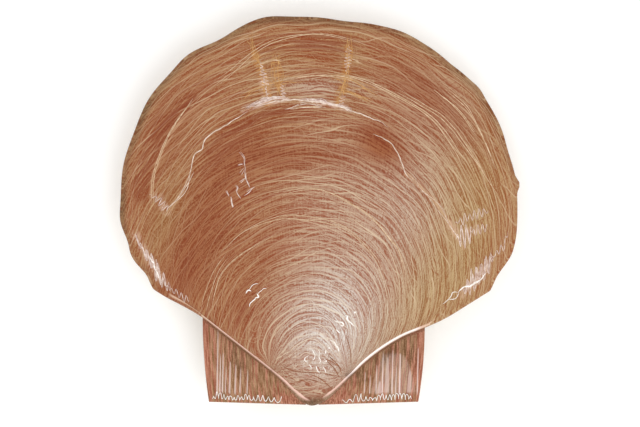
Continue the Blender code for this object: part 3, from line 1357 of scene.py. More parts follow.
@dataclass
class Relief:
    """What stands out from a valve's smooth dome, in millimetres."""

    seed: int
    lamella_pitch: float = 1.7
    lamella_height: float = 0.10
    swell_height: float = 0.22
    ring_height: float = 0.30
    ring_width: float = 0.9
    terraces: tuple[float, ...] = ()
    terrace_height: float = 0.35
    terrace_width: float = 1.6
    terrace_back: float = 0.5
    terrace_wander: float = 0.8
    terrace_run: float = 9.0
    flank_height: float = 0.35
    flank_width: float = 0.9
    flank_inset: float = 0.3
    calm_to: float = 0.12
    calm_beside: float = 2.5
    lamella_run: float = 30.0
    finer_run: float = 17.0
    finer_share: float = 0.5
    swell_pitch: float = 9.0
    swell_run: float = 60.0
    noise: ValueNoise = field(init=False)

    def __post_init__(self) -> None:
        """Set up the noise that makes the relief uneven."""
        self.noise = ValueNoise(self.seed)

    def height(
        self, t: Array, angle: Array, lines: tuple[Array, Array], flank: Array, ring: Array
    ) -> Array:
        """Relief over the smooth dome.

        It is the sum of lamellae, which are a noise drawn out along the growth lines; a broad
        swell, the same noise at a coarser scale; a step at each winter ring; and a raised rib
        along both flanks.

        Args:
            t: Growth line.
            angle: Angle about the disc's centre.
            lines: Label of the fine growth line, and the distance along it.
            flank: Distance in from the flank's edge.
            ring: Distance from the raised winter ring.

        Returns:
            Height in millimetres, fading out at the umbo.
        """
        label, run = lines
        grown = smooth_step(t / self.calm_to)
        pitches = label / self.lamella_pitch
        fine = self.noise.at(pitches * 2.0, run / self.lamella_run)
        finer = self.noise.at(pitches * 3.7 + 91.0, run / self.finer_run)
        fine = fine + self.finer_share * finer
        broad = self.noise.at(label / self.swell_pitch + 40.0, run / self.swell_run + 7.0)
        height = self.lamella_height * fine + self.swell_height * broad
        for number, terrace in enumerate(self.terraces):
            wander = self.noise.at(np.asarray(angle) / self.terrace_run, 31.0 * number + 5.0)
            beyond = (t - terrace) * PLAN.length + self.terrace_wander * wander
            width = np.where(beyond > 0, self.terrace_width, self.terrace_back)
            step = bell(beyond, width)
            height = height + self.terrace_height * step
        height = height + self.ring_height * bell(ring, self.ring_width)
        inside = smooth_step(flank / self.calm_beside)
        rib = self.flank_height * bell(flank - self.flank_inset, self.flank_width)
        return grown * height * inside + rib


@dataclass
class Ear:
    """Relief and colour of the riblets on the ears beside the umbo, in millimetres."""

    seed: int
    edge: float = 1.2
    root: float = 0.6
    swell: float = 0.4
    bow: float = 0.057
    pitch: float = 1.2
    riblet_height: float = 0.16
    lean: float = 0.6
    notch: float = 0.0
    notch_place: float = 0.28
    notch_width: float = 0.20
    shallowest: float = 0.25
    steps: int = 26
    streaks: tuple[tuple[float, float, float, float], ...] = ()
    streak_end: float = 2.3
    noise: ValueNoise = field(init=False)

    def __post_init__(self) -> None:
        """Set up the noise that makes the riblets uneven."""
        self.noise = ValueNoise(self.seed)

    def height(self, x: Array, w: Array) -> Array:
        """Smooth height of an ear at x, with w from 0 at the flank to 1 at the hinge edge."""
        out = np.clip(np.abs(x) / PLAN.ear_reach, 0.0, 1.0)
        return self.edge + self.root * (1.0 - out ** 2) + self.swell * (1.0 - w)

    def riblets(self, foot_x: Array) -> Array:
        """Crests and furrows across an ear, from 0 to 1, at the x where a riblet starts.

        The phase runs on evenly with x and wanders by a smooth noise; the profile is the
        rounded top of a sine, raised to a power, and each riblet has its own height.

        Args:
            foot_x: X at the flank, in millimetres.

        Returns:
            The profile's height there.
        """
        phase = foot_x / self.pitch + 0.7 * self.noise.at(foot_x / 3.1, 3.5)
        crest = np.abs(np.sin(math.pi * phase)) ** 0.8
        return crest * (0.65 + 0.35 * self.noise.at(np.floor(phase) * 1.37, 11.5))

    def streak(self, x: Array, y: Array) -> Array:
        """Strength of the pale streaks, each from its own top down to near the hinge.

        A streak has crisp sides, which part a little on the way down.

        Args:
            x: X in millimetres.
            y: Y in millimetres.

        Returns:
            Sum of the streaks, kept from 0 to 1.
        """
        total = np.zeros(np.broadcast_shapes(np.shape(x), np.shape(y)))
        for place, top, width, strength in self.streaks:
            down = np.clip((top - y) / (top - self.streak_end), 0.0, 1.0)
            away = np.abs(x - place - 0.5 * self.lean * (1.0 - down))
            across = smooth_step((width * (0.3 + 0.7 * down ** 0.5) - away) / 0.16 + 0.5)
            total = total + strength * across * window(y, self.streak_end, top, 0.5)
        return np.clip(total, 0.0, 1.0)

    def points(self, feet: Array) -> tuple[Array, dict[str, Array]]:
        """Grid of points on an ear, one row for each foot of the flank.

        Args:
            feet: Points at the flank's foot, in the order in which they meet the ear.

        Returns:
            The points from just below each foot to the hinge edge, and their values.
        """
        w = np.linspace(0.0, 1.0, self.steps + 1)[None, 1:]
        foot_x = feet[:, :1]
        x = foot_x * (1.0 - self.bow * w ** 2)
        out = np.clip(np.abs(x) / PLAN.ear_reach, 0.0, 1.0)
        x = x - self.notch * bell(w - self.notch_place, self.notch_width) * np.where(
            x > 0, out ** 8, 0.0
        )
        y = feet[:, 1:2] + (PLAN.hinge_line(x) - feet[:, 1:2]) * w
        rise = smooth_step(w / 0.12) * smooth_step((1.0 - w) / 0.04 + 0.3)
        riblets = self.riblets(foot_x) * np.ones_like(w)
        z = self.height(x, w) + self.riblet_height * (riblets - 0.5) * rise
        values = {
            "riblet": riblets,
            "hinge_mm": foot_x * np.ones_like(w),
            "ear_w": w * np.ones_like(foot_x),
            "streak": self.streak(x, y),
        }
        return np.stack([x, y, z], axis=-1), values


@dataclass
class SubAssembly:
    """What becomes one piece: its name, finishes and slot, and the CAD node that it replaces."""

    name: str
    finishes: tuple[Finish, ...]
    slot: str = "upper_shell"
    node: str | None = None

    def build(self, place: Array) -> bpy.types.Object:
        """Model the piece, with the shell frame's origin at place, in metres."""
        raise NotImplementedError

    def finish_piece(self, work: Patchwork, place: Array) -> bpy.types.Object:
        """Make the piece from its mesh, and say which body and node it goes with.

        Args:
            work: The finished mesh, in the shell frame.
            place: Where the shell frame's origin is, in metres.

        Returns:
            The piece's object.
        """
        piece = work.make(self.name, place)
        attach(piece, BODY)
        if self.node:
            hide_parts(self.node)
        return piece

    def dress(self, piece: bpy.types.Object) -> None:
        """Give the piece its materials, in the order of their numbers."""
        for finish in self.finishes:
            piece.data.materials.append(finish.material())


@dataclass(kw_only=True)
class Valve(SubAssembly):
    """One valve: a domed disc with a rounded edge, two ears, and a flat inner face."""

    upward: int
    dome: Dome
    relief: Relief
    ear: Ear
    fields: dict[str, tuple[Patch, ...]]
    outline_scale: float = 1.0
    lines: int = 340
    rays: int = 220
    roll_steps: int = 6
    edge_foot: float = 0.6
    overhang: float = 0.7
    umbo_overhang: float = 1.0
    umbo_reach: float = 0.15
    gap: float = 0.3
    groove_half_length: float = 29.0
    groove_depth: float = 1.2
    groove_half_height: float = 0.75
    groove_lip: float = 0.05
    column_crowding: float = 0.4
    rib: FlankRib = FlankRib()
    rib_fade: float = 1.6
    early_reach: float = 11.0
    early_fade: float = 13.0
    # Painted shade along the margin: how far in from the rim it reaches, and its strength at each
    # angle, as knots.
    rim_shade_reach: float = 1.7
    rim_shading: tuple[tuple[float, float], ...] = (
        (-104, 0.2), (-92, 0.85), (-76, 0.5), (-62, 0.9), (-40, 0.6), (-22, 0.8), (0, 0.7),
        (22, 0.5), (42, 0.7), (60, 0.4), (82, 0.2), (100, 0.0),
    )

    def growth_lines(self) -> Array:
        """Growth lines that get a row of points.

        Returns:
            Evenly spaced values of t, two of them moved to the ears' ends.
        """
        lines = np.linspace(0.0, 1.0, self.lines + 1)[1:]
        for flank in PLAN.flanks:
            lines[np.argmin(np.abs(lines - flank.ear_end))] = flank.ear_end
        return lines

    def reach(self, t: Array, u: Array) -> Array:
        """Signed angle of the flank that point u of growth line t lies towards."""
        left, right = (PLAN.flank_reach(flank, t) for flank in PLAN.flanks)
        return np.where(u < 0, left, right)

    def surface(self, t: Array, angle: Array) -> tuple[Array, dict[str, Array]]:
        """Points of the disc's surface.

        In plan a point is the margin at that angle scaled about the pole by t. Its height is
        the dome's plus the relief's. Near the pole the fine growth lines ease into the
        earliest ones.

        Args:
            t: Growth line of each point.
            angle: Angle of each point, in degrees.

        Returns:
            The points in millimetres, and their named values.
        """
        t, angle = np.broadcast_arrays(np.asarray(t, float), np.asarray(angle, float))
        margin_x, margin_y = PLAN.margin(angle, t)
        x, y = t * margin_x, t * margin_y
        reach = np.abs(self.reach(t, angle))
        flank = np.radians(reach - np.abs(angle)) * PLAN.disc_radius * t
        ray = np.radians(angle) * PLAN.disc_radius
        label, run = COURSE.coordinates(x, y)
        near_pole = 1.0 - smooth_step((np.hypot(x, y) - self.early_reach) / self.early_fade)
        early_label, early_run = COURSE.early(x, y)
        label = label + (early_label - label) * near_pole
        run = run + (early_run - run) * near_pole
        marks = {mark.name: mark.distance(x, y) for mark in MARKS}
        z = self.dome.height(t, margin_y)
        z = z + self.relief.height(t, angle, (label, run), flank, marks[RING.name])
        rim = (1.0 - t) * np.hypot(margin_x, margin_y)
        rib, rib_highlight = self.rib.strength(t, angle, flank)
        values = {
            "label_mm": label,
            "run_mm": run,
            "ray_mm": ray,
            "flank_mm": flank,
            "growth": t,
            "umbo": near_pole,
            "rib": rib,
            "rib_highlight": rib_highlight,
            # Painted shade along the margin, strongest at the rim.
            "painted_rim_shade": knots_at(self.rim_shading, angle) * bell(rim, self.rim_shade_reach),
        }
        return np.stack([x, y, z], axis=-1), {**values, **marks}

    def tinted(self, points: Array, values: dict[str, Array]) -> dict[str, Array]:
        """Add the strength of each colour field to points' values.

        Args:
            points: The points, in millimetres.
            values: Their named values so far.

        Returns:
            All the named values.
        """
        x, y = points[..., 0], points[..., 1]
        tints = {name: patches_at(patches, x, y) for name, patches in self.fields.items()}
        return {**values, **tints}

    def build(self, place: Array) -> bpy.types.Object:
        """Model the valve and put it over its CAD node.

        Args:
            place: Where the shell frame's origin is, in metres.

        Returns:
            The valve's object.
        """
        names = (*DISC_VALUES, *EAR_VALUES, *self.fields)
        work = Patchwork(names, mirrored=self.upward < 0)
        lines = self.growth_lines()
        count = len(lines)

        # The disc, one row for each growth line, with its columns crowded towards the flanks.
        even = np.linspace(-1.0, 1.0, self.rays + 1)
        u = (1.0 - self.column_crowding) * even
        u = u + self.column_crowding * np.sin(0.5 * math.pi * even)
        t = np.broadcast_to(lines[:, None], (count, len(u)))
        angle = np.abs(self.reach(lines[:, None], u[None, :])) * u[None, :]
        points, values = self.surface(t, angle)
        tip = np.array([[0.0, 0.0, self.dome.edge + self.dome.umbo_lift]])
        tip_values = {name: value[:1, 0] for name, value in values.items()}
        if self.dome.flat_cut:
            height = points[..., 2]
            points[..., 2] = np.minimum(height, height.max() - self.dome.flat_cut)
        pole = int(work.add(tip, **self.tinted(tip, tip_values))[0])
        disc = work.add(points, **self.tinted(points, values))
        work.fan(pole, disc[0])
        work.span(disc)

        # The disc's edge as one loop: down the left flank, round the pole, up the right flank
        # and back along the margin. From it the surface rolls over in a quarter ellipse.
        def around(grid: Array, at_pole: Array) -> Array:
            """Values of a grid along the disc's edge, in the loop's order."""
            return np.concatenate([grid[::-1, 0], at_pole, grid[:, -1], grid[-1, -2:0:-1]])

        base = around(disc, np.array([pole]))
        top = around(points, tip)
        edge_values = {name: around(value, tip_values[name]) for name, value in values.items()}
        edge_t = edge_values["growth"]
        stations = np.arange(len(base))
        normal = outward(top[:, :2])
        overhang = self.overhang + self.umbo_overhang * bell(edge_t, self.umbo_reach)
        feet = top[:, :2] + normal * overhang[:, None]
        ear_end = np.where(stations < count, PLAN.flanks[0].ear_end, PLAN.flanks[1].ear_end)
        by_ear = edge_t <= ear_end
        foot_height = np.where(by_ear, self.ear.height(feet[:, 0], 0.0), self.edge_foot)
        turn = np.linspace(0.0, 0.5 * math.pi, self.roll_steps + 1)[None, 1:, None]
        roll_plan = top[:, None, :2] + (normal * overhang[:, None])[:, None] * np.sin(turn)
        drop = (top[:, 2] - foot_height)[:, None, None]
        roll = np.concatenate([
            roll_plan, foot_height[:, None, None] + drop * np.cos(turn),
        ], axis=-1)
        past = overhang[:, None] * np.sin(turn[..., 0])
        roll_values = {name: value[:, None] + 0 * past for name, value in edge_values.items()}
        roll_values["flank_mm"] = roll_values["flank_mm"] - past
        for name in ("rib", "rib_highlight"):
            roll_values[name] = roll_values[name] * smooth_step(1.0 - self.rib_fade * past)
        rolled = work.add(roll, **self.tinted(roll, roll_values))
        edge = np.column_stack([base, rolled])
        work.span(np.vstack([edge, edge[:1]]))
        foot = edge[:, -1]

        # The ears hang between the flanks' feet and the hinge edge.
        deep = feet[:, 1] - PLAN.hinge_line(feet[:, 0]) > self.ear.shallowest
        left = stations[by_ear & deep & (stations < count)]
        right = stations[by_ear & deep & (stations > count)]
        grids = []
        for side in (left, right):
            ear_points, ear_values = self.ear.points(feet[side])
            ear = work.add(ear_points, **self.tinted(ear_points, ear_values))
            ear = np.column_stack([foot[side], ear])
            work.span(ear, dressing=1)
            grids.append(ear)

        # The outline runs along the feet and round each ear, and drops to the inner face,
        # with a groove for the ligament along the hinge edge.
        outline = np.concatenate([
            foot[:left[0]], grids[0][0, :-1], grids[0][:-1, -1], grids[0][-1, ::-1],
            foot[left[-1] + 1:right[0]], grids[1][0, :-1], grids[1][:-1, -1],
            grids[1][-1, ::-1], foot[right[-1] + 1:],
        ])
        rim = np.concatenate(work.points)[outline]
        walls = [outline]
        for inset, height in self.wall_profile():
            ring = rim.copy()
            hinge = PLAN.hinge_line(rim[:, 0])
            grooved = (np.abs(rim[:, 0]) < self.groove_half_length) & (rim[:, 1] < hinge + inset)
            ring[:, 1] = np.where(grooved, hinge + inset, rim[:, 1])
            ring[:, 2] = height
            walls.append(work.add(ring, **self.tinted(ring, {})))
        wall = np.stack(walls, axis=-1)
        work.span(np.vstack([wall, wall[:1]]), dressing=2)
        work.cap(walls[-1], dressing=2)

        scale = np.array([self.outline_scale, self.outline_scale, self.upward])
        work.points = [points * scale for points in work.points]
        return self.finish_piece(work, place)

    def wall_profile(self) -> tuple[tuple[float, float], ...]:
        """Steps down the outline, from the ears' edge to the gap between the valves.

        Returns:
            Each step's inset along the ligament's groove, and its height.
        """
        return (
            (0.0, self.groove_half_height),
            (self.groove_depth, self.groove_half_height - self.groove_lip),
            (self.groove_depth, 0.5 * self.gap),
        )

# --- Tubes: the ligament, the frill and the threads --------------------------------------------
def add_tube(
    work: Patchwork, path: Array, half_width: Array, half_height: Array, sides: int
) -> None:
    """Add a closed tube along a path that runs roughly level.

    The profile is an ellipse, whose width lies across the path in plan and whose height
    stands upright. Both shrink at a tapered end, which is capped.

    Args:
        work: The mesh that gets the tube.
        path: Points in millimetres, one a row.
        half_width: Half the profile's width at each point.
        half_height: Half its height at each point.
        sides: Corners of the profile.
    """
    along = np.gradient(path, axis=0)
    along = along / np.linalg.norm(along, axis=1, keepdims=True)
    across = np.cross(along, np.array([0.0, 0.0, 1.0]))
    across = across / np.linalg.norm(across, axis=1, keepdims=True)
    upright = np.cross(across, along)
    turn = 2.0 * math.pi * np.arange(sides) / sides
    ring = (
        path[:, None]
        + across[:, None] * (half_width[:, None] * np.cos(turn))[..., None]
        + upright[:, None] * (half_height[:, None] * np.sin(turn))[..., None]
    )
    grid = work.add(ring)
    closed = np.column_stack([grid, grid[:, :1]])
    work.span(closed[::-1])
    work.cap(grid[0])
    work.cap(grid[-1, ::-1])


@dataclass(kw_only=True)
class Ligament(SubAssembly):
    """The dark horny band that joins the valves along the hinge."""

    half_length: float = 28.7
    half_height: float = 0.45
    depth: float = 0.75
    inset: float = 0.15
    stations: int = 260
    sides: int = 16
    unevenness: float = 0.12
    uneven_pitch: float = 0.8
    taper: float = 0.6
    seed: int = 5

    def build(self, place: Array) -> bpy.types.Object:
        """Model the band as a flattened tube along the hinge line, slightly uneven.

        Args:
            place: Where the shell frame's origin is, in metres.

        Returns:
            The band's object, over its CAD node.
        """
        x = np.linspace(-self.half_length, self.half_length, self.stations)
        y = PLAN.hinge_line(x) + self.inset + 0.5 * self.depth
        path = np.column_stack([x, y, np.zeros_like(x)])
        noise = ValueNoise(self.seed).at(x / self.uneven_pitch, 0.5)
        taper = np.clip((self.half_length - np.abs(x)) / self.taper + 0.1, 0.0, 1.0)
        share = (1.0 - self.unevenness * np.abs(noise)) * np.sqrt(taper)
        work = Patchwork(())
        add_tube(work, path, 0.5 * self.depth * share, self.half_height * share, self.sides)
        return self.finish_piece(work, place)


@dataclass(kw_only=True)
class HingeFrill(SubAssembly):
    """The white zigzag thread of chalk along the hinge edge of an ear."""

    side: Side
    ear: Ear
    start: float = 9.2
    end: float = 30.8
    outer_pitch: float = 1.05
    inner_pitch: float = 2.4
    radius: float = 0.105
    foot: float = 0.35
    outer_height: float = 1.5
    inner_height: float = 2.0
    unevenness: float = 0.55
    outer_lift: float = 0.9
    lean: float = 0.28
    taper: float = 0.01
    steps: int = 1100
    sides: int = 8
    seed: int = 21

    def build(self, place: Array) -> bpy.types.Object:
        """Model the frill as a thin tube on the ear, whose waves widen towards the umbo.

        The path is the hinge line plus a lift plus a wave, whose pitch goes from the outer to
        the inner one as a power of the way along. Each wave's height wanders by a smooth noise.

        Args:
            place: Where the shell frame's origin is, in metres.

        Returns:
            The frill's object.
        """
        noise = ValueNoise(self.seed + self.side.value)
        s = np.linspace(0.0, 1.0, self.steps)
        inward = s ** 3
        out = self.end + (self.start - self.end) * s
        pitch = self.outer_pitch + (self.inner_pitch - self.outer_pitch) * inward
        phase = np.cumsum((self.end - self.start) / self.steps / pitch)
        uneven = 1.0 + self.unevenness * noise.at(1.6 * phase, 9.0)
        height = (self.outer_height + (self.inner_height - self.outer_height) * inward) * uneven
        wave = 0.5 - 0.5 * np.cos(2.0 * math.pi * phase)
        lift = self.outer_lift * (1.0 - inward) * (0.7 + 0.3 * noise.at(0.5 * phase, 4.0))
        lean = self.lean * np.sin(2.0 * math.pi * phase) * noise.at(0.9 * phase, 2.0)
        x = self.side.value * (out + lean)
        y = PLAN.hinge_line(x) + self.foot + lift + height * wave
        depth = np.maximum(self.depth_at(out), 1.0)
        w = 1.0 - (y - PLAN.hinge_line(x)) / depth
        z = self.ear.height(x, w) + self.radius
        path = np.column_stack([x, y, z])
        radius = self.radius * np.sqrt(np.clip(np.minimum(s, 1.0 - s) / self.taper, 0.05, 1.0))
        work = Patchwork(())
        add_tube(work, path, radius, radius, self.sides)
        return self.finish_piece(work, place)

    def depth_at(self, out: Array) -> Array:
        """Depth of the ear, from the flank down to the hinge, at a distance from the umbo."""
        return out / math.tan(math.radians(PLAN.flank_angle))


@dataclass(kw_only=True)
class SurfaceThreads(SubAssembly):
    """Fine threads of shell or chalk on the upper valve, made as one piece; some paint glints.

    Each course is a radius, and knots (x, y) in millimetres about the pole. It may be split
    into strands that wander round it, drawn as a zigzag, or dip under the surface in places.
    """

    courses: tuple[tuple[float, Course], ...]
    flatness: float = 0.7
    crinkle: float = 0.0
    crinkle_pitch: float = 1.4
    strands: int = 1
    spread: float = 0.0
    spread_pitch: float = 9.0
    zigzag: float = 0.0
    zigzag_pitch: float = 0.85
    zigzag_lean: float = 4.0
    dip: float = 0.0
    spacing: float = 0.45
    tapered: float = 0.2
    sides: int = 6
    seed: int = 41

    def build(self, place: Array) -> bpy.types.Object:
        """Model each thread as a flat tube along its course, half sunk in the valve.

        Args:
            place: Where the shell frame's origin is, in metres.

        Returns:
            The threads' object.
        """
        work = Patchwork(())
        for number, (radius, course) in enumerate(self.courses):
            for strand in range(self.strands):
                self.add_thread(work, radius, np.array(course), 100 * number + 7 * strand)
        return self.finish_piece(work, place)

    def add_thread(self, work: Patchwork, radius: float, knots: Array, row: int) -> None:
        """Add one thread.

        In plan it is the smooth curve through the knots, plus a slow noise that parts the
        strands, plus a fine noise that crinkles it, plus a wave across it whose height is
        uneven. It lies on the valve, and its own height dips by a noise.

        Args:
            work: The mesh that gets the thread.
            radius: Half the thread's width at its middle.
            knots: The course.
            row: Row of the noise that this thread uses.
        """
        noise = ValueNoise(self.seed)
        length = np.linalg.norm(np.diff(knots, axis=0), axis=1).mean()
        plan = curve_through(knots, max(4, round(length / self.spacing)))
        gone = np.linalg.norm(np.diff(plan, axis=0, prepend=plan[:1]), axis=1).cumsum()
        share = gone / gone[-1]
        for reach, pitch in ((self.spread, self.spread_pitch), (self.crinkle, self.crinkle_pitch)):
            phase = gone / pitch
            wobble = [noise.at(phase, row + 0.5), noise.at(phase, row + 3.5)]
            plan = plan + reach * np.stack(wobble, axis=-1)
        lean = math.radians(self.zigzag_lean)
        step = np.diff(plan, axis=0, prepend=plan[:1]) @ np.array([math.cos(lean), math.sin(lean)])
        across = np.abs(step).cumsum() / self.zigzag_pitch
        swing = np.sin(2.0 * math.pi * across)
        uneven = 0.55 + 0.45 * noise.at(across, row + 5.5)
        swing = swing * self.zigzag * uneven * np.sin(math.pi * share) ** 0.5
        plan = plan + swing[:, None] * np.array([-math.sin(lean), math.cos(lean)])
        path = UPPER.surface(*PLAN.locate(*plan.T))[0]
        width = np.clip(np.minimum(share, 1.0 - share) / self.tapered, 0.1, 1.0) ** 0.7
        width = radius * width * (1.0 + 0.25 * noise.at(gone / 0.7, row + 1.5))
        if self.zigzag:
            width = width * (0.2 + 0.8 * np.abs(np.cos(2.0 * math.pi * across)))
        dip = self.dip * noise.at(gone / 1.1, row + 2.5)
        path[:, 2] += radius * (0.4 * self.flatness + dip)
        add_tube(work, path, width, self.flatness * width, self.sides)


# --- Studio ----------------------------------------------------------------------------------
@dataclass
class Studio:
    """Pale floor, soft light from all round, and a camera that looks straight down.

    A softbox is a name, a place and a size in metres, and a power in watts.
    """

    floor: Finish = PaleFloor("painted_board", roughness=0.9, ior=1.45)
    floor_size: float = 4.0
    softboxes: tuple[tuple[str, tuple[float, float, float], float, float], ...] = (
        ("key_softbox", (0.40, -0.55, 1.00), 1.1, 5.5),
        ("fill_softbox", (-0.8, 0.6, 1.0), 1.0, 2.5),
    )
    ambience: float = 0.95
    camera_height: float = 1.2
    view_width: float = 0.1972
    sensor: float = 36.0
    aim: tuple[float, float] = (0.00027, -0.00083)

    def build(self, valves_meet: float) -> None:
        """Make the floor, the world, the lights and the camera.

        Args:
            valves_meet: Height of the plane where the valves meet, in metres.
        """
        self.build_floor()
        self.build_light()
        self.build_camera(valves_meet)

    def build_floor(self) -> None:
        """Lay a square of floor under the shell."""
        half = 0.5 * self.floor_size
        mesh = bpy.data.meshes.new("studio_floor")
        corners = [(-half, -half, 0.0), (half, -half, 0.0), (half, half, 0.0), (-half, half, 0.0)]
        mesh.from_pydata(corners, [], [(0, 1, 2, 3)])
        mesh.materials.append(self.floor.material())
        floor = bpy.data.objects.new("studio_floor", mesh)
        bpy.context.scene.collection.objects.link(floor)

    def build_light(self) -> None:
        """Light the shell evenly, with a little more from the front right."""
        scene = bpy.context.scene
        scene.view_settings.view_transform = "Standard"
        world = bpy.data.worlds.new("studio_world")
        world.use_nodes = True
        background = world.node_tree.nodes["Background"]
        background.inputs["Color"].default_value = linear("#ffffff")
        background.inputs["Strength"].default_value = self.ambience
        scene.world = world
        for name, place, size, power in self.softboxes:
            light = bpy.data.lights.new(name, "AREA")
            light.shape = "SQUARE"
            light.size = size
            light.energy = power
            lamp = bpy.data.objects.new(name, light)
            lamp.location = place
            lamp.rotation_euler = (-Vector(place)).to_track_quat("-Z", "Y").to_euler()
            scene.collection.objects.link(lamp)

    def build_camera(self, valves_meet: float) -> None:
        """Look straight down, with the free margin at the top of the view.

        The lens is the sensor's width times the height over the width that is seen.

        Args:
            valves_meet: Height of the plane where the valves meet, in metres.
        """
        data = bpy.data.cameras.new("studio_camera")
        data.sensor_width = self.sensor
        data.lens = self.sensor * self.camera_height / self.view_width
        data.clip_end = 10.0
        camera = bpy.data.objects.new("studio_camera", data)
        camera.location = (*self.aim, valves_meet + self.camera_height)
        bpy.context.scene.collection.objects.link(camera)
        bpy.context.scene.camera = camera


# --- The scallop -------------------------------------------------------------------------------
# Chalk and worn shell scatter light: their gloss is faint and broad. The chalk's white also paints
# the cores of glints.
CHALK_AND_GLINT = SpeckledSolid("chalk_and_glint_white", roughness=0.6, ior=1.55)
CHECK_EDGE, GROWTH_EDGE, SCRATCH_AND_GLINT, RAY_PIGMENT, FURROW = (
    SpeckledSolid(name, roughness=0.6, ior=1.5, gloss=0.25, dark=dark, light=light)
    for name, dark, light in (
        ("worn_check_edge", "#b79a84", "#e4d2c2"),
        ("worn_growth_edge", "#b5926f", "#dcc2a2"),
        # Its white also paints the glints' zigzags.
        ("chalky_scratch_and_glint", "#b8978a", "#e6d6cc"),
        ("ochre_ray_thread", "#a87742", "#cb9c64"),
        ("stained_growth_furrow", "#6f3e22", "#96623f"),
    )
)
# The inner layer is smoother and denser, so it shines more.
NACRE = SpeckledSolid(
    "inner_shell_layer", roughness=0.35, ior=1.6, dark="#c9b6a4", light="#e9dfd3", grain=3.0,
)
# Horn is dark and dense, with a satin gloss.
HORN = SpeckledSolid(
    "ligament_horn", roughness=0.45, ior=1.54, dark="#1d120b", light="#4a2f1c", grain=0.5,
    bump_depth=0.08 * MM,
)

# Pigmented calcite is matt: its gloss is faint and broad.
PIGMENT = PigmentedShell(
    "pigmented_calcite", roughness=0.6, ior=1.5, gloss=0.25,
    tones=(
        # The pale, ochre and deep tones are partly the pigment's own and partly painted light and
        # shade.
        ("ochre", Tone("#875622", "#af9166", "#9c774d")),
        ("pale", Tone("#9b7460", "#d2cbc3", "#b89484")),
        ("deep", Tone("#742d08", "#955a36", "#844224")),
        # Painted shadow beside the flanks and under the beak's tip.
        ("painted_shadow", Tone("#523820", "#836448", "#6c4f38")),
        # Painted shade along the margin.
        ("painted_rim_shade", Tone("#523a1e", "#8a6a48", "#60482f")),
    ),
    layers=(
        Strokes(0.62, 22.0, 1.0, detail=0.3, weight=2.3),
        Strokes(0.54, 14.0, 2.5, lean=6.0, detail=0.3, weight=1.5),
        Strokes(0.52, 16.0, 3.5, lean=-7.0, detail=0.3, weight=1.5),
        Strokes(2.80, 50.0, 4.5, weight=0.6),
    ),
    outer_layers=(
        Strokes(0.62, 18.0, 6.0, lean=5.0, detail=0.3, weight=2.0),
        Strokes(0.54, 14.0, 7.0, lean=-11.0, detail=0.3, weight=1.6),
        Strokes(1.90, 34.0, 8.0, lean=10.0, weight=0.7),
    ),
    early_layers=(
        Strokes(0.66, 6.0, 1.5, detail=0.3, weight=1.9),
        Strokes(0.56, 5.0, 2.0, lean=20.0, detail=0.3, weight=1.7),
        Strokes(0.56, 5.5, 3.0, lean=-22.0, detail=0.3, weight=1.6),
    ),
    dashes=(
        (Tint.DARK, Strokes(1.0, 40.0, 9.0, lean=2.0, weight=0.6, fill=0.26)),
        (Tint.DARK, Hairs(1.5, 16.0, 55.0, lean=3.0, weight=0.9)),
        (Tint.DARK, Hairs(1.8, 14.0, 56.0, lean=-12.0, weight=0.8)),
        (Tint.LIGHT, Hairs(1.1, 8.0, 57.0, lean=34.0, weight=0.7)),
        (Tint.DARK, Hairs(1.1, 8.0, 58.0, lean=-42.0, weight=0.6)),
        (Tint.LIGHT, Hairs(1.2, 26.0, 51.0, weight=0.9)),
        (Tint.LIGHT, Hairs(1.1, 20.0, 52.0, lean=7.0, weight=0.8)),
        (Tint.LIGHT, Hairs(1.1, 20.0, 53.0, lean=-8.0, weight=0.8)),
        (Tint.BRIGHT, Hairs(2.0, 30.0, 54.0, family=Family.MARGIN, weight=0.85, fill=0.09)),
        (Tint.BRIGHT, Hairs(2.2, 36.0, 59.0, lean=3.0, weight=1.0, fill=0.08)),
        (Tint.BRIGHT, Hairs(2.6, 30.0, 60.0, lean=-9.0, weight=0.8, fill=0.06)),
    ),
    marks=(
        MarkPaint("dark_band", 4.5, "#7a2f0c", 0.6, Strokes(0.8, 24.0, 71.0), threshold=0.49),
        MarkPaint("pale_band", 0.9, "#c8a27c", 0.45, Strokes(0.6, 14.0, 72.0), threshold=0.45),
        MarkPaint("ray_streak", 2.0, "#b9803f", 0.45, Strokes(0.7, 6.0, 73.0), threshold=0.47),
        # Painted glints and whitish wear, as pale hatch.
        MarkPaint("glint_and_wear", 2.0, "#cfab94", 0.5, Strokes(0.45, 4.0, 74.0), threshold=0.5),
        MarkPaint("ring", 1.4, "#dcc0b0", 0.55, Strokes(0.5, 3.0, 75.0), threshold=0.5),
    ),
)
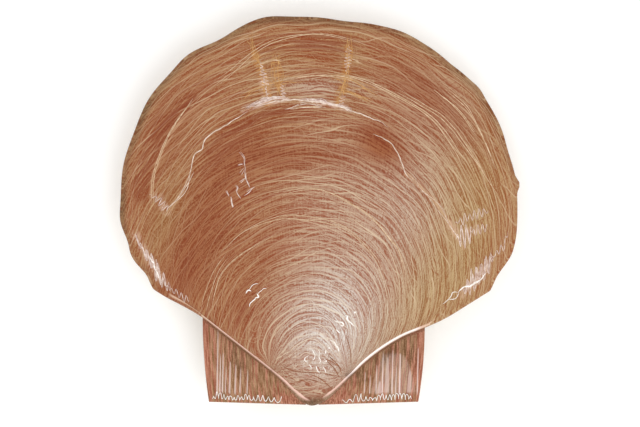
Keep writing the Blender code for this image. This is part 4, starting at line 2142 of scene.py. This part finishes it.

# Fields of colour on the upper valve: the pigment is uneven, and worn off in places. The
# fields also paint light from the front right: the pale and ochre ones, mostly towards the
# front right, are lighter where the shell faces the key light, and the deep ones, mostly
# towards the back left, are painted shade.
UPPER_FIELDS = {
    "pale": (
        Patch(6.5, 22, 18, 14, 62, 1), Patch(30, 60, 22, 12, 80, 0.3),
        Patch(8, 58, 30, 18, 80, 0.24), Patch(2, 96, 14, 3, 0, 0.3),
        Patch(40, 90, 16, 10, -40, 0.15),
    ),
    "ochre": (
        Patch(46, 52, 36, 14, 80, 1), Patch(30, 30, 20, 9, 50, 0.6), Patch(17, 18, 9, 5, 55, 0.6),
        Patch(-44, 60, 16, 7, 80, 0.3), Patch(-45, 53, 18, 4.5, 68, 0.6),
        Patch(-12, 96, 8, 14, 0, 0.4), Patch(11, 98, 5, 16, 0, 0.4),
    ),
    "deep": (
        Patch(-22, 75, 22, 10, 40, 0.5), Patch(-14, 52, 20, 8, 75, 0.3),
        Patch(36, 92, 18, 6.5, -42, 0.8), Patch(-44, 82, 18, 5.5, 60, 0.7),
        Patch(21, 79, 11, 6.5, -38, 1), Patch(0, 75, 18, 5, 0, 0.6),
        Patch(-36, 44, 30, 12, 66, 0.85), Patch(-22, 29, 12, 5, 58, 0.5),
    ),
    # Painted shadow: on both ears beside the flanks, and under the beak's tip.
    "painted_shadow": (
        Patch(0, -1, 6, 1.8, 0, 0.9), Patch(-23, 12.2, 4.4, 2.6, 112, 0.9),
        Patch(15, 7.4, 2.6, 2, 35, 0.6), Patch(22.8, 13.4, 5.6, 1.8, 32, 0.9),
        Patch(30.4, 13.8, 4.8, 2.2, 90, 0.85),
    ),
    "outer": (
        Patch(-52, 64, 34, 12, 82, 1), Patch(-36, 98, 26, 10, 40, 0.9),
    ),
    "warm": (
        Patch(-33, 8, 2.5, 30, 0, 0.9), Patch(33, 8, 2.5, 30, 0, 0.9), Patch(-6, 0, 5, 4, 0, 0.9),
        Patch(8, 0, 5, 5, 0, 0.9),
    ),
}

# The upper valve's thin ears are as matt as its disc.
UPPER = Valve(
    "upper_shell",
    (PIGMENT, RibletedEar("ribleted_calcite", roughness=0.6, ior=1.5, gloss=0.25), NACRE),
    node="upper_valve", upward=1,
    dome=Dome(crest=17.0, swell=0.75, fall=1.0),
    relief=Relief(seed=11, terraces=(0.34, 0.55)),
    ear=Ear(
        seed=12,
        streaks=(
            (-29.2, 21.0, 0.22, 0.8), (-28.4, 13.5, 0.16, 1.0), (-27.6, 14.2, 0.20, 0.9),
            (-26.7, 9.6, 0.13, 0.9), (-25.4, 11.6, 0.28, 0.7), (-23.7, 10.6, 0.26, 0.7),
            (-22.2, 9.5, 0.20, 0.7), (-20.0, 9.0, 0.13, 1.0), (16.1, 8.3, 0.14, 0.8),
            (17.7, 7.5, 0.15, 0.9), (19.7, 10.6, 0.15, 0.8), (21.6, 14.4, 0.20, 0.9),
            (24.6, 15.3, 0.18, 0.9), (25.7, 9.8, 0.16, 0.7), (26.9, 14.1, 0.24, 1.0),
            (32.4, 15.8, 0.20, 0.8), (20.6, 5.6, 0.60, 0.45), (23.0, 12.9, 0.70, 0.4),
            (29.9, 8.9, 0.70, 0.35), (25.0, 14.0, 7.0, 0.14),
        ),
    ),
    fields=UPPER_FIELDS,
)
# The lower valve is smoother than the upper one, with a satin gloss.
LOWER = Valve(
    "lower_shell",
    (
        CreamShell("cream_calcite", roughness=0.45, ior=1.55),
        CreamShell("cream_ear_calcite", roughness=0.45, ior=1.55),
        NACRE,
    ),
    slot="lower_shell", node="lower_valve", upward=-1,
    dome=Dome(crest=12.4, swell=0.6, fall=0.6, flat_cut=0.65),
    relief=Relief(
        seed=31, lamella_height=0.05, swell_height=0.0, ring_height=0.0, terrace_height=0.0,
        flank_height=0.0,
    ),
    ear=Ear(seed=32, notch=2.2, riblet_height=0.08),
    fields={}, outline_scale=0.985, lines=200, rays=140,
)
LIGAMENT = Ligament("ligament_band", (HORN,), slot="ligament", node="hinge_ligament")
FRILLS = tuple(
    HingeFrill(f"hinge_frill_{side.name.lower()}", (CHALK_AND_GLINT,), side=side, ear=UPPER.ear)
    for side in Side
)

# Each course is half the thread's width, and the knots that it runs through.
THREADS = (
    SurfaceThreads(
        "check_edges", (CHECK_EDGE,), crinkle=0.22, courses=(
            (0.17, (
                (-20.0, 88.4), (-25.3, 85.0), (-31.2, 81.3), (-32.8, 79.4), (-33.6, 77.1),
                (-35.6, 75.6), (-36.3, 73.7), (-37.1, 69.9), (-37.9, 67.4),
            )),
            (0.17, (
                (18.5, 81.6), (22.5, 80.0), (24.6, 78.2), (27.1, 73.9), (28.6, 69.4), (31.5, 66.6),
            )),
            (0.19, (
                (-17.9, 90.0), (-7.4, 92.0), (1.5, 91.4), (10.2, 89.4), (20.3, 85.6), (23.4, 83.6),
            )),
        ),
    ),
    SurfaceThreads(
        "ring_threads", (SCRATCH_AND_GLINT,), strands=8, spread=0.9, spread_pitch=3.0, dip=1.3, spacing=0.3,
        courses=(
            (0.12, ((-20.0, 89.6), (-17.9, 90.6), (-13.0, 92.2), (-7.4, 92.4))),
            (0.12, ((-3.0, 92.4), (1.5, 91.8), (6.8, 90.8), (12.2, 88.7))),
        ),
    ),
    SurfaceThreads(
        "check_threads", (CHECK_EDGE,), strands=3, spread=1.5, spread_pitch=7.0, dip=1.4,
        spacing=0.35, courses=(
            (0.06, ((28.8, 69.4), (33.0, 65.6), (38.5, 59.4), (44.4, 50.0), (46.4, 46.8))),
            (0.10, ((-37.1, 69.9), (-38.5, 66.2), (-40.7, 62.5), (-43.4, 58.8))),
            (0.10, ((-8.0, 89.0), (-2.0, 90.3), (4.0, 90.2))),
        ),
    ),
    SurfaceThreads(
        "ray_threads", (RAY_PIGMENT,), strands=5, spread=1.9, spread_pitch=7.0, dip=0.9, courses=(
            (0.08, ((-20.0, 112.6), (-17.4, 106.6), (-15.6, 101.6), (-13.3, 91.1))),
            (0.08, ((-11.6, 106.6), (-10.8, 101.6), (-9.2, 92.0))),
            (0.08, ((11.4, 112.9), (11.1, 104.7), (9.6, 96.1), (8.0, 90.0))),
            (0.07, ((5.6, 99.0), (11.0, 98.4), (17.0, 95.5), (20.0, 93.6))),
            (0.07, ((7.0, 96.0), (12.0, 94.6), (18.0, 91.5))),
            (0.06, ((-22.0, 93.0), (-16.0, 95.6), (-9.0, 97.4), (-3.0, 97.9))),
        ),
    ),
    SurfaceThreads(
        "growth_edges", (GROWTH_EDGE,), strands=2, spread=1.2, spread_pitch=22.0, dip=0.3,
        crinkle=0.06, spacing=0.8, courses=(
            (0.11, (
                (5.6, 99.2), (13.0, 98.6), (21.0, 96.0), (30.2, 91.4), (38.0, 85.6), (46.6, 73.0),
            )),
            (0.11, ((25.6, 94.9), (33.3, 90.9), (41.0, 86.2), (50.2, 73.9), (57.0, 63.1))),
            (0.10, ((37.9, 95.5), (44.1, 89.9), (50.2, 81.6))),
            (0.10, ((41.0, 96.1), (48.7, 87.7), (57.0, 70.8))),
            (0.10, ((-8.3, 98.5), (-3.7, 99.3), (2.5, 99.8), (10.2, 99.1), (16.3, 96.7))),
            (0.12, ((-6.0, 88.9), (-1.7, 89.7), (3.6, 89.9))),
            (0.10, ((-17.0, 102.2), (-12.5, 103.6), (-8.8, 103.8))),
            (0.11, ((13.0, 104.8), (15.4, 103.9))),
            (0.07, ((-33.6, 27.0), (-32.4, 32.0), (-29.3, 39.5), (-25.5, 45.0))),
            (0.07, ((-31.4, 27.7), (-29.9, 33.8), (-27.6, 39.2), (-22.2, 44.6), (-12.9, 50.5))),
            (0.09, (
                (-12.9, 63.5), (0.9, 64.8), (13.2, 59.2), (19.4, 54.6), (24.0, 49.2), (27.1, 44.6),
                (29.4, 33.8),
            )),
            (0.08, (
                (-26.8, 45.4), (-20.6, 51.5), (-12.9, 55.4), (-5.2, 56.6), (8.6, 53.9),
                (17.9, 45.4), (21.0, 40.0), (22.8, 33.8),
            )),
            (0.10, ((-36.5, 92.0), (-42.5, 83.3), (-46.6, 75.0), (-48.9, 67.7), (-49.3, 60.0))),
            (0.09, ((-30.0, 97.0), (-18.0, 106.0), (-6.0, 111.2), (6.0, 112.0), (16.0, 109.5))),
        ),
    ),
    SurfaceThreads(
        "growth_furrows", (FURROW,), flatness=0.5, dip=0.4, courses=(
            (0.14, ((-0.9, 8.3), (2.5, 6.9), (6.2, 3.6))),
            (0.14, ((4.9, 14.1), (8.0, 11.0), (9.2, 8.0))),
            (0.13, ((4.3, 12.6), (6.8, 10.1), (8.4, 7.2))),
            (0.13, ((-10.0, 11.6), (-5.5, 9.2), (3.7, 8.6), (7.8, 7.0))),
            (0.12, ((2.0, 13.2), (6.0, 12.2), (9.6, 9.4))),
            (0.12, ((-6.2, 5.4), (-1.0, 6.6), (4.4, 5.0))),
            (0.12, ((10.6, 20.0), (11.8, 15.0), (12.0, 10.6))),
        ),
    ),
    # Painted glints: white zigzags where light catches the margin at the lower left and the lower
    # right.
    SurfaceThreads(
        "glint_zigzags", (SCRATCH_AND_GLINT,), strands=2, spread=0.4, zigzag=5.0, zigzag_pitch=1.5,
        spacing=0.06, dip=0.6, tapered=0.08, courses=(
            (0.14, (
                (-54.7, 50.8), (-53.6, 48.6), (-52.4, 46.2), (-50.8, 44.3), (-49.3, 42.5),
                (-48.1, 40.6), (-46.8, 37.8), (-45.3, 36.3), (-43.4, 33.8),
            )),
            (0.12, (
                (45.9, 33.2), (47.1, 34.4), (48.7, 36.3), (50.2, 37.5), (51.8, 39.1), (53.9, 41.5),
                (55.8, 44.3),
            )),
            (0.13, ((44.2, 49.4), (45.6, 50.4), (47.2, 50.6), (49.2, 51.4))),
        ),
    ),
    # Painted glints: finer zigzags at the ends of the same glints and beside the right one.
    SurfaceThreads(
        "fine_glint_zigzags", (SCRATCH_AND_GLINT,), zigzag=2.6, zigzag_pitch=1.5, spacing=0.07, dip=0.5,
        tapered=0.05, courses=(
            (0.10, ((54.8, 43.4), (57.3, 46.1), (58.8, 47.4), (60.0, 52.0))),
            (0.10, ((-43.6, 34.0), (-41.6, 33.2), (-40.1, 32.0), (-37.6, 30.7))),
            (0.10, ((43.6, 54.4), (46.5, 55.6), (50.0, 57.0), (54.0, 58.2))),
            (0.10, ((49.0, 51.6), (51.2, 52.4), (54.0, 53.4))),
        ),
    ),
    SurfaceThreads(
        "level_scratches", (SCRATCH_AND_GLINT,), zigzag=1.7, zigzag_pitch=1.0,
        zigzag_lean=80.0, spacing=0.05, dip=0.5, tapered=0.08, courses=(
            (0.10, ((-15.8, 104.1), (-14.6, 98.6), (-13.4, 92.2))),
            (0.09, ((-9.2, 97.0), (-8.6, 92.8))),
            (0.08, ((11.4, 109.5), (11.0, 104.0), (10.6, 100.4))),
            (0.08, ((9.6, 94.0), (8.8, 90.6))),
        ),
    ),
    SurfaceThreads(
        "slanting_scratches", (SCRATCH_AND_GLINT,), zigzag=2.4, zigzag_pitch=1.6, zigzag_lean=-38.0,
        spacing=0.07, dip=0.7, tapered=0.08, courses=(
            (0.10, ((-49.9, 63.1), (-47.0, 61.5), (-44.0, 58.2))),
        ),
    ),
    SurfaceThreads(
        "short_scratches", (SCRATCH_AND_GLINT,), strands=2, spread=0.45, spread_pitch=3.0, spacing=0.2,
        dip=0.5, courses=(
            (0.14, ((-20.5, 69.8), (-20.2, 68.2), (-19.6, 67.1), (-19.0, 65.6))),
            (0.07, (
                (-22.2, 76.2), (-21.1, 75.1), (-20.5, 74.2), (-20.5, 72.7), (-20.2, 70.8),
                (-20.5, 69.6),
            )),
            (0.10, ((-17.3, 65.5), (-18.5, 64.7), (-19.8, 63.6))),
            (0.09, ((-18.4, 64.6), (-19.4, 63.6), (-20.6, 62.7))),
            (0.08, ((-23.3, 66.2), (-22.6, 65.3), (-22.8, 64.0), (-21.6, 61.9))),
            (0.11, ((-24.5, 62.5), (-24.2, 60.9), (-23.6, 59.2))),
            (0.07, ((-26.0, 64.3), (-25.7, 63.5), (-25.4, 62.6))),
            (0.07, ((-21.8, 66.9), (-21.0, 67.5), (-20.2, 68.3))),
            (0.07, ((-21.9, 69.3), (-21.2, 70.3), (-20.6, 71.1))),
            (0.06, ((-22.8, 72.0), (-22.0, 72.3), (-21.0, 72.5))),
        ),
    ),
    SurfaceThreads(
        "worm_tubes_and_glints", (CHALK_AND_GLINT,), crinkle=0.15, crinkle_pitch=0.9, spacing=0.25, courses=(
            # The first six courses are the smooth white cores of painted glints, at the lower
            # right and the lower left; the rest are worm tubes.
            (0.22, (
                (44.7, 32.9), (45.6, 34.1), (46.8, 34.8), (48.7, 35.2), (49.9, 36.0), (51.8, 37.1),
                (53.6, 39.4),
            )),
            (0.36, ((48.4, 35.2), (49.9, 36.0), (51.3, 36.9))),
            (0.12, ((40.1, 29.6), (42.2, 31.5), (43.4, 33.3), (44.7, 33.2))),
            (0.12, ((41.4, 30.8), (42.6, 31.1), (44.1, 31.4), (45.0, 32.9))),
            (0.18, ((-49.9, 44.0), (-49.4, 42.8), (-48.8, 42.2), (-48.6, 40.4))),
            (0.18, ((-49.0, 41.8), (-48.3, 39.8), (-47.6, 38.8), (-47.0, 36.8))),
            (0.26, (
                (10.2, 26.4), (10.8, 26.1), (10.6, 25.4), (11.2, 24.7), (12.3, 23.7), (12.9, 23.0),
            )),
            (0.24, ((6.8, 24.9), (8.0, 24.4), (8.9, 24.3), (9.6, 23.7), (9.4, 23.2), (8.6, 23.4))),
            (0.20, ((7.4, 22.0), (8.3, 21.2), (8.5, 20.9))),
            (0.24, ((5.5, 18.7), (6.5, 18.4), (7.1, 17.7), (7.7, 16.9), (8.4, 15.3))),
            (0.30, ((12.6, 27.5), (13.3, 27.2))),
            (0.26, ((5.1, 16.5), (5.6, 16.3))),
            (0.15, ((0.0, 15.8), (0.6, 14.7), (0.9, 13.5), (0.5, 12.7))),
            (0.15, ((2.0, 15.7), (2.5, 14.7), (2.2, 13.5), (2.6, 12.3), (2.2, 11.6))),
            (0.16, ((4.2, 15.7), (4.3, 14.7))),
            (0.16, ((3.4, 12.6), (4.0, 12.9), (4.4, 12.6), (4.3, 12.1), (3.7, 12.3))),
            (0.13, ((-0.8, 11.3), (-0.3, 10.4), (-0.5, 9.8))),
            (0.13, ((1.2, 11.0), (1.7, 9.5), (2.2, 8.9), (2.6, 9.5))),
            (0.13, ((3.4, 10.7), (4.0, 9.5), (4.3, 8.6))),
            (0.12, ((-0.9, 14.0), (-2.0, 13.5), (-2.2, 12.7), (-1.5, 12.0))),
            (0.15, ((-19.1, 28.9), (-18.6, 30.2), (-17.3, 31.4), (-16.9, 32.0))),
            (0.22, ((-17.3, 31.7), (-16.2, 32.0), (-16.7, 33.0))),
            (0.09, ((-16.6, 32.7), (-15.7, 33.7), (-14.8, 34.4), (-13.7, 34.7))),
            (0.20, ((-20.1, 33.0), (-19.4, 34.0), (-18.5, 33.8))),
            (0.09, ((-19.5, 33.8), (-18.2, 35.4), (-17.3, 35.9), (-16.2, 36.0))),
        ),
    ),
)


def shell_origin() -> Array:
    """Where the pole of the umbo is, in metres.

    The ligament follows the hinge line, whose lowest point lies a known way behind the pole.

    Returns:
        The point's x, y and z.
    """
    low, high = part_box("hinge_ligament")
    behind = (PLAN.hinge_offset - LIGAMENT.inset) * MM
    return np.array([0.5 * (low.x + high.x), low.y + behind, 0.5 * (low.z + high.z)])


def main() -> None:
    """Build the shell piece by piece, then the studio round it."""
    place = shell_origin()
    for assembly in (UPPER, LOWER, LIGAMENT, *FRILLS, *THREADS):
        piece = assembly.build(place)
        assembly.dress(piece)
        LOG.info("%s: %d faces", piece.name, len(piece.data.polygons))
    Studio().build(place[2])


if __name__ == "__main__":
    logging.basicConfig(level=logging.INFO)
    main()
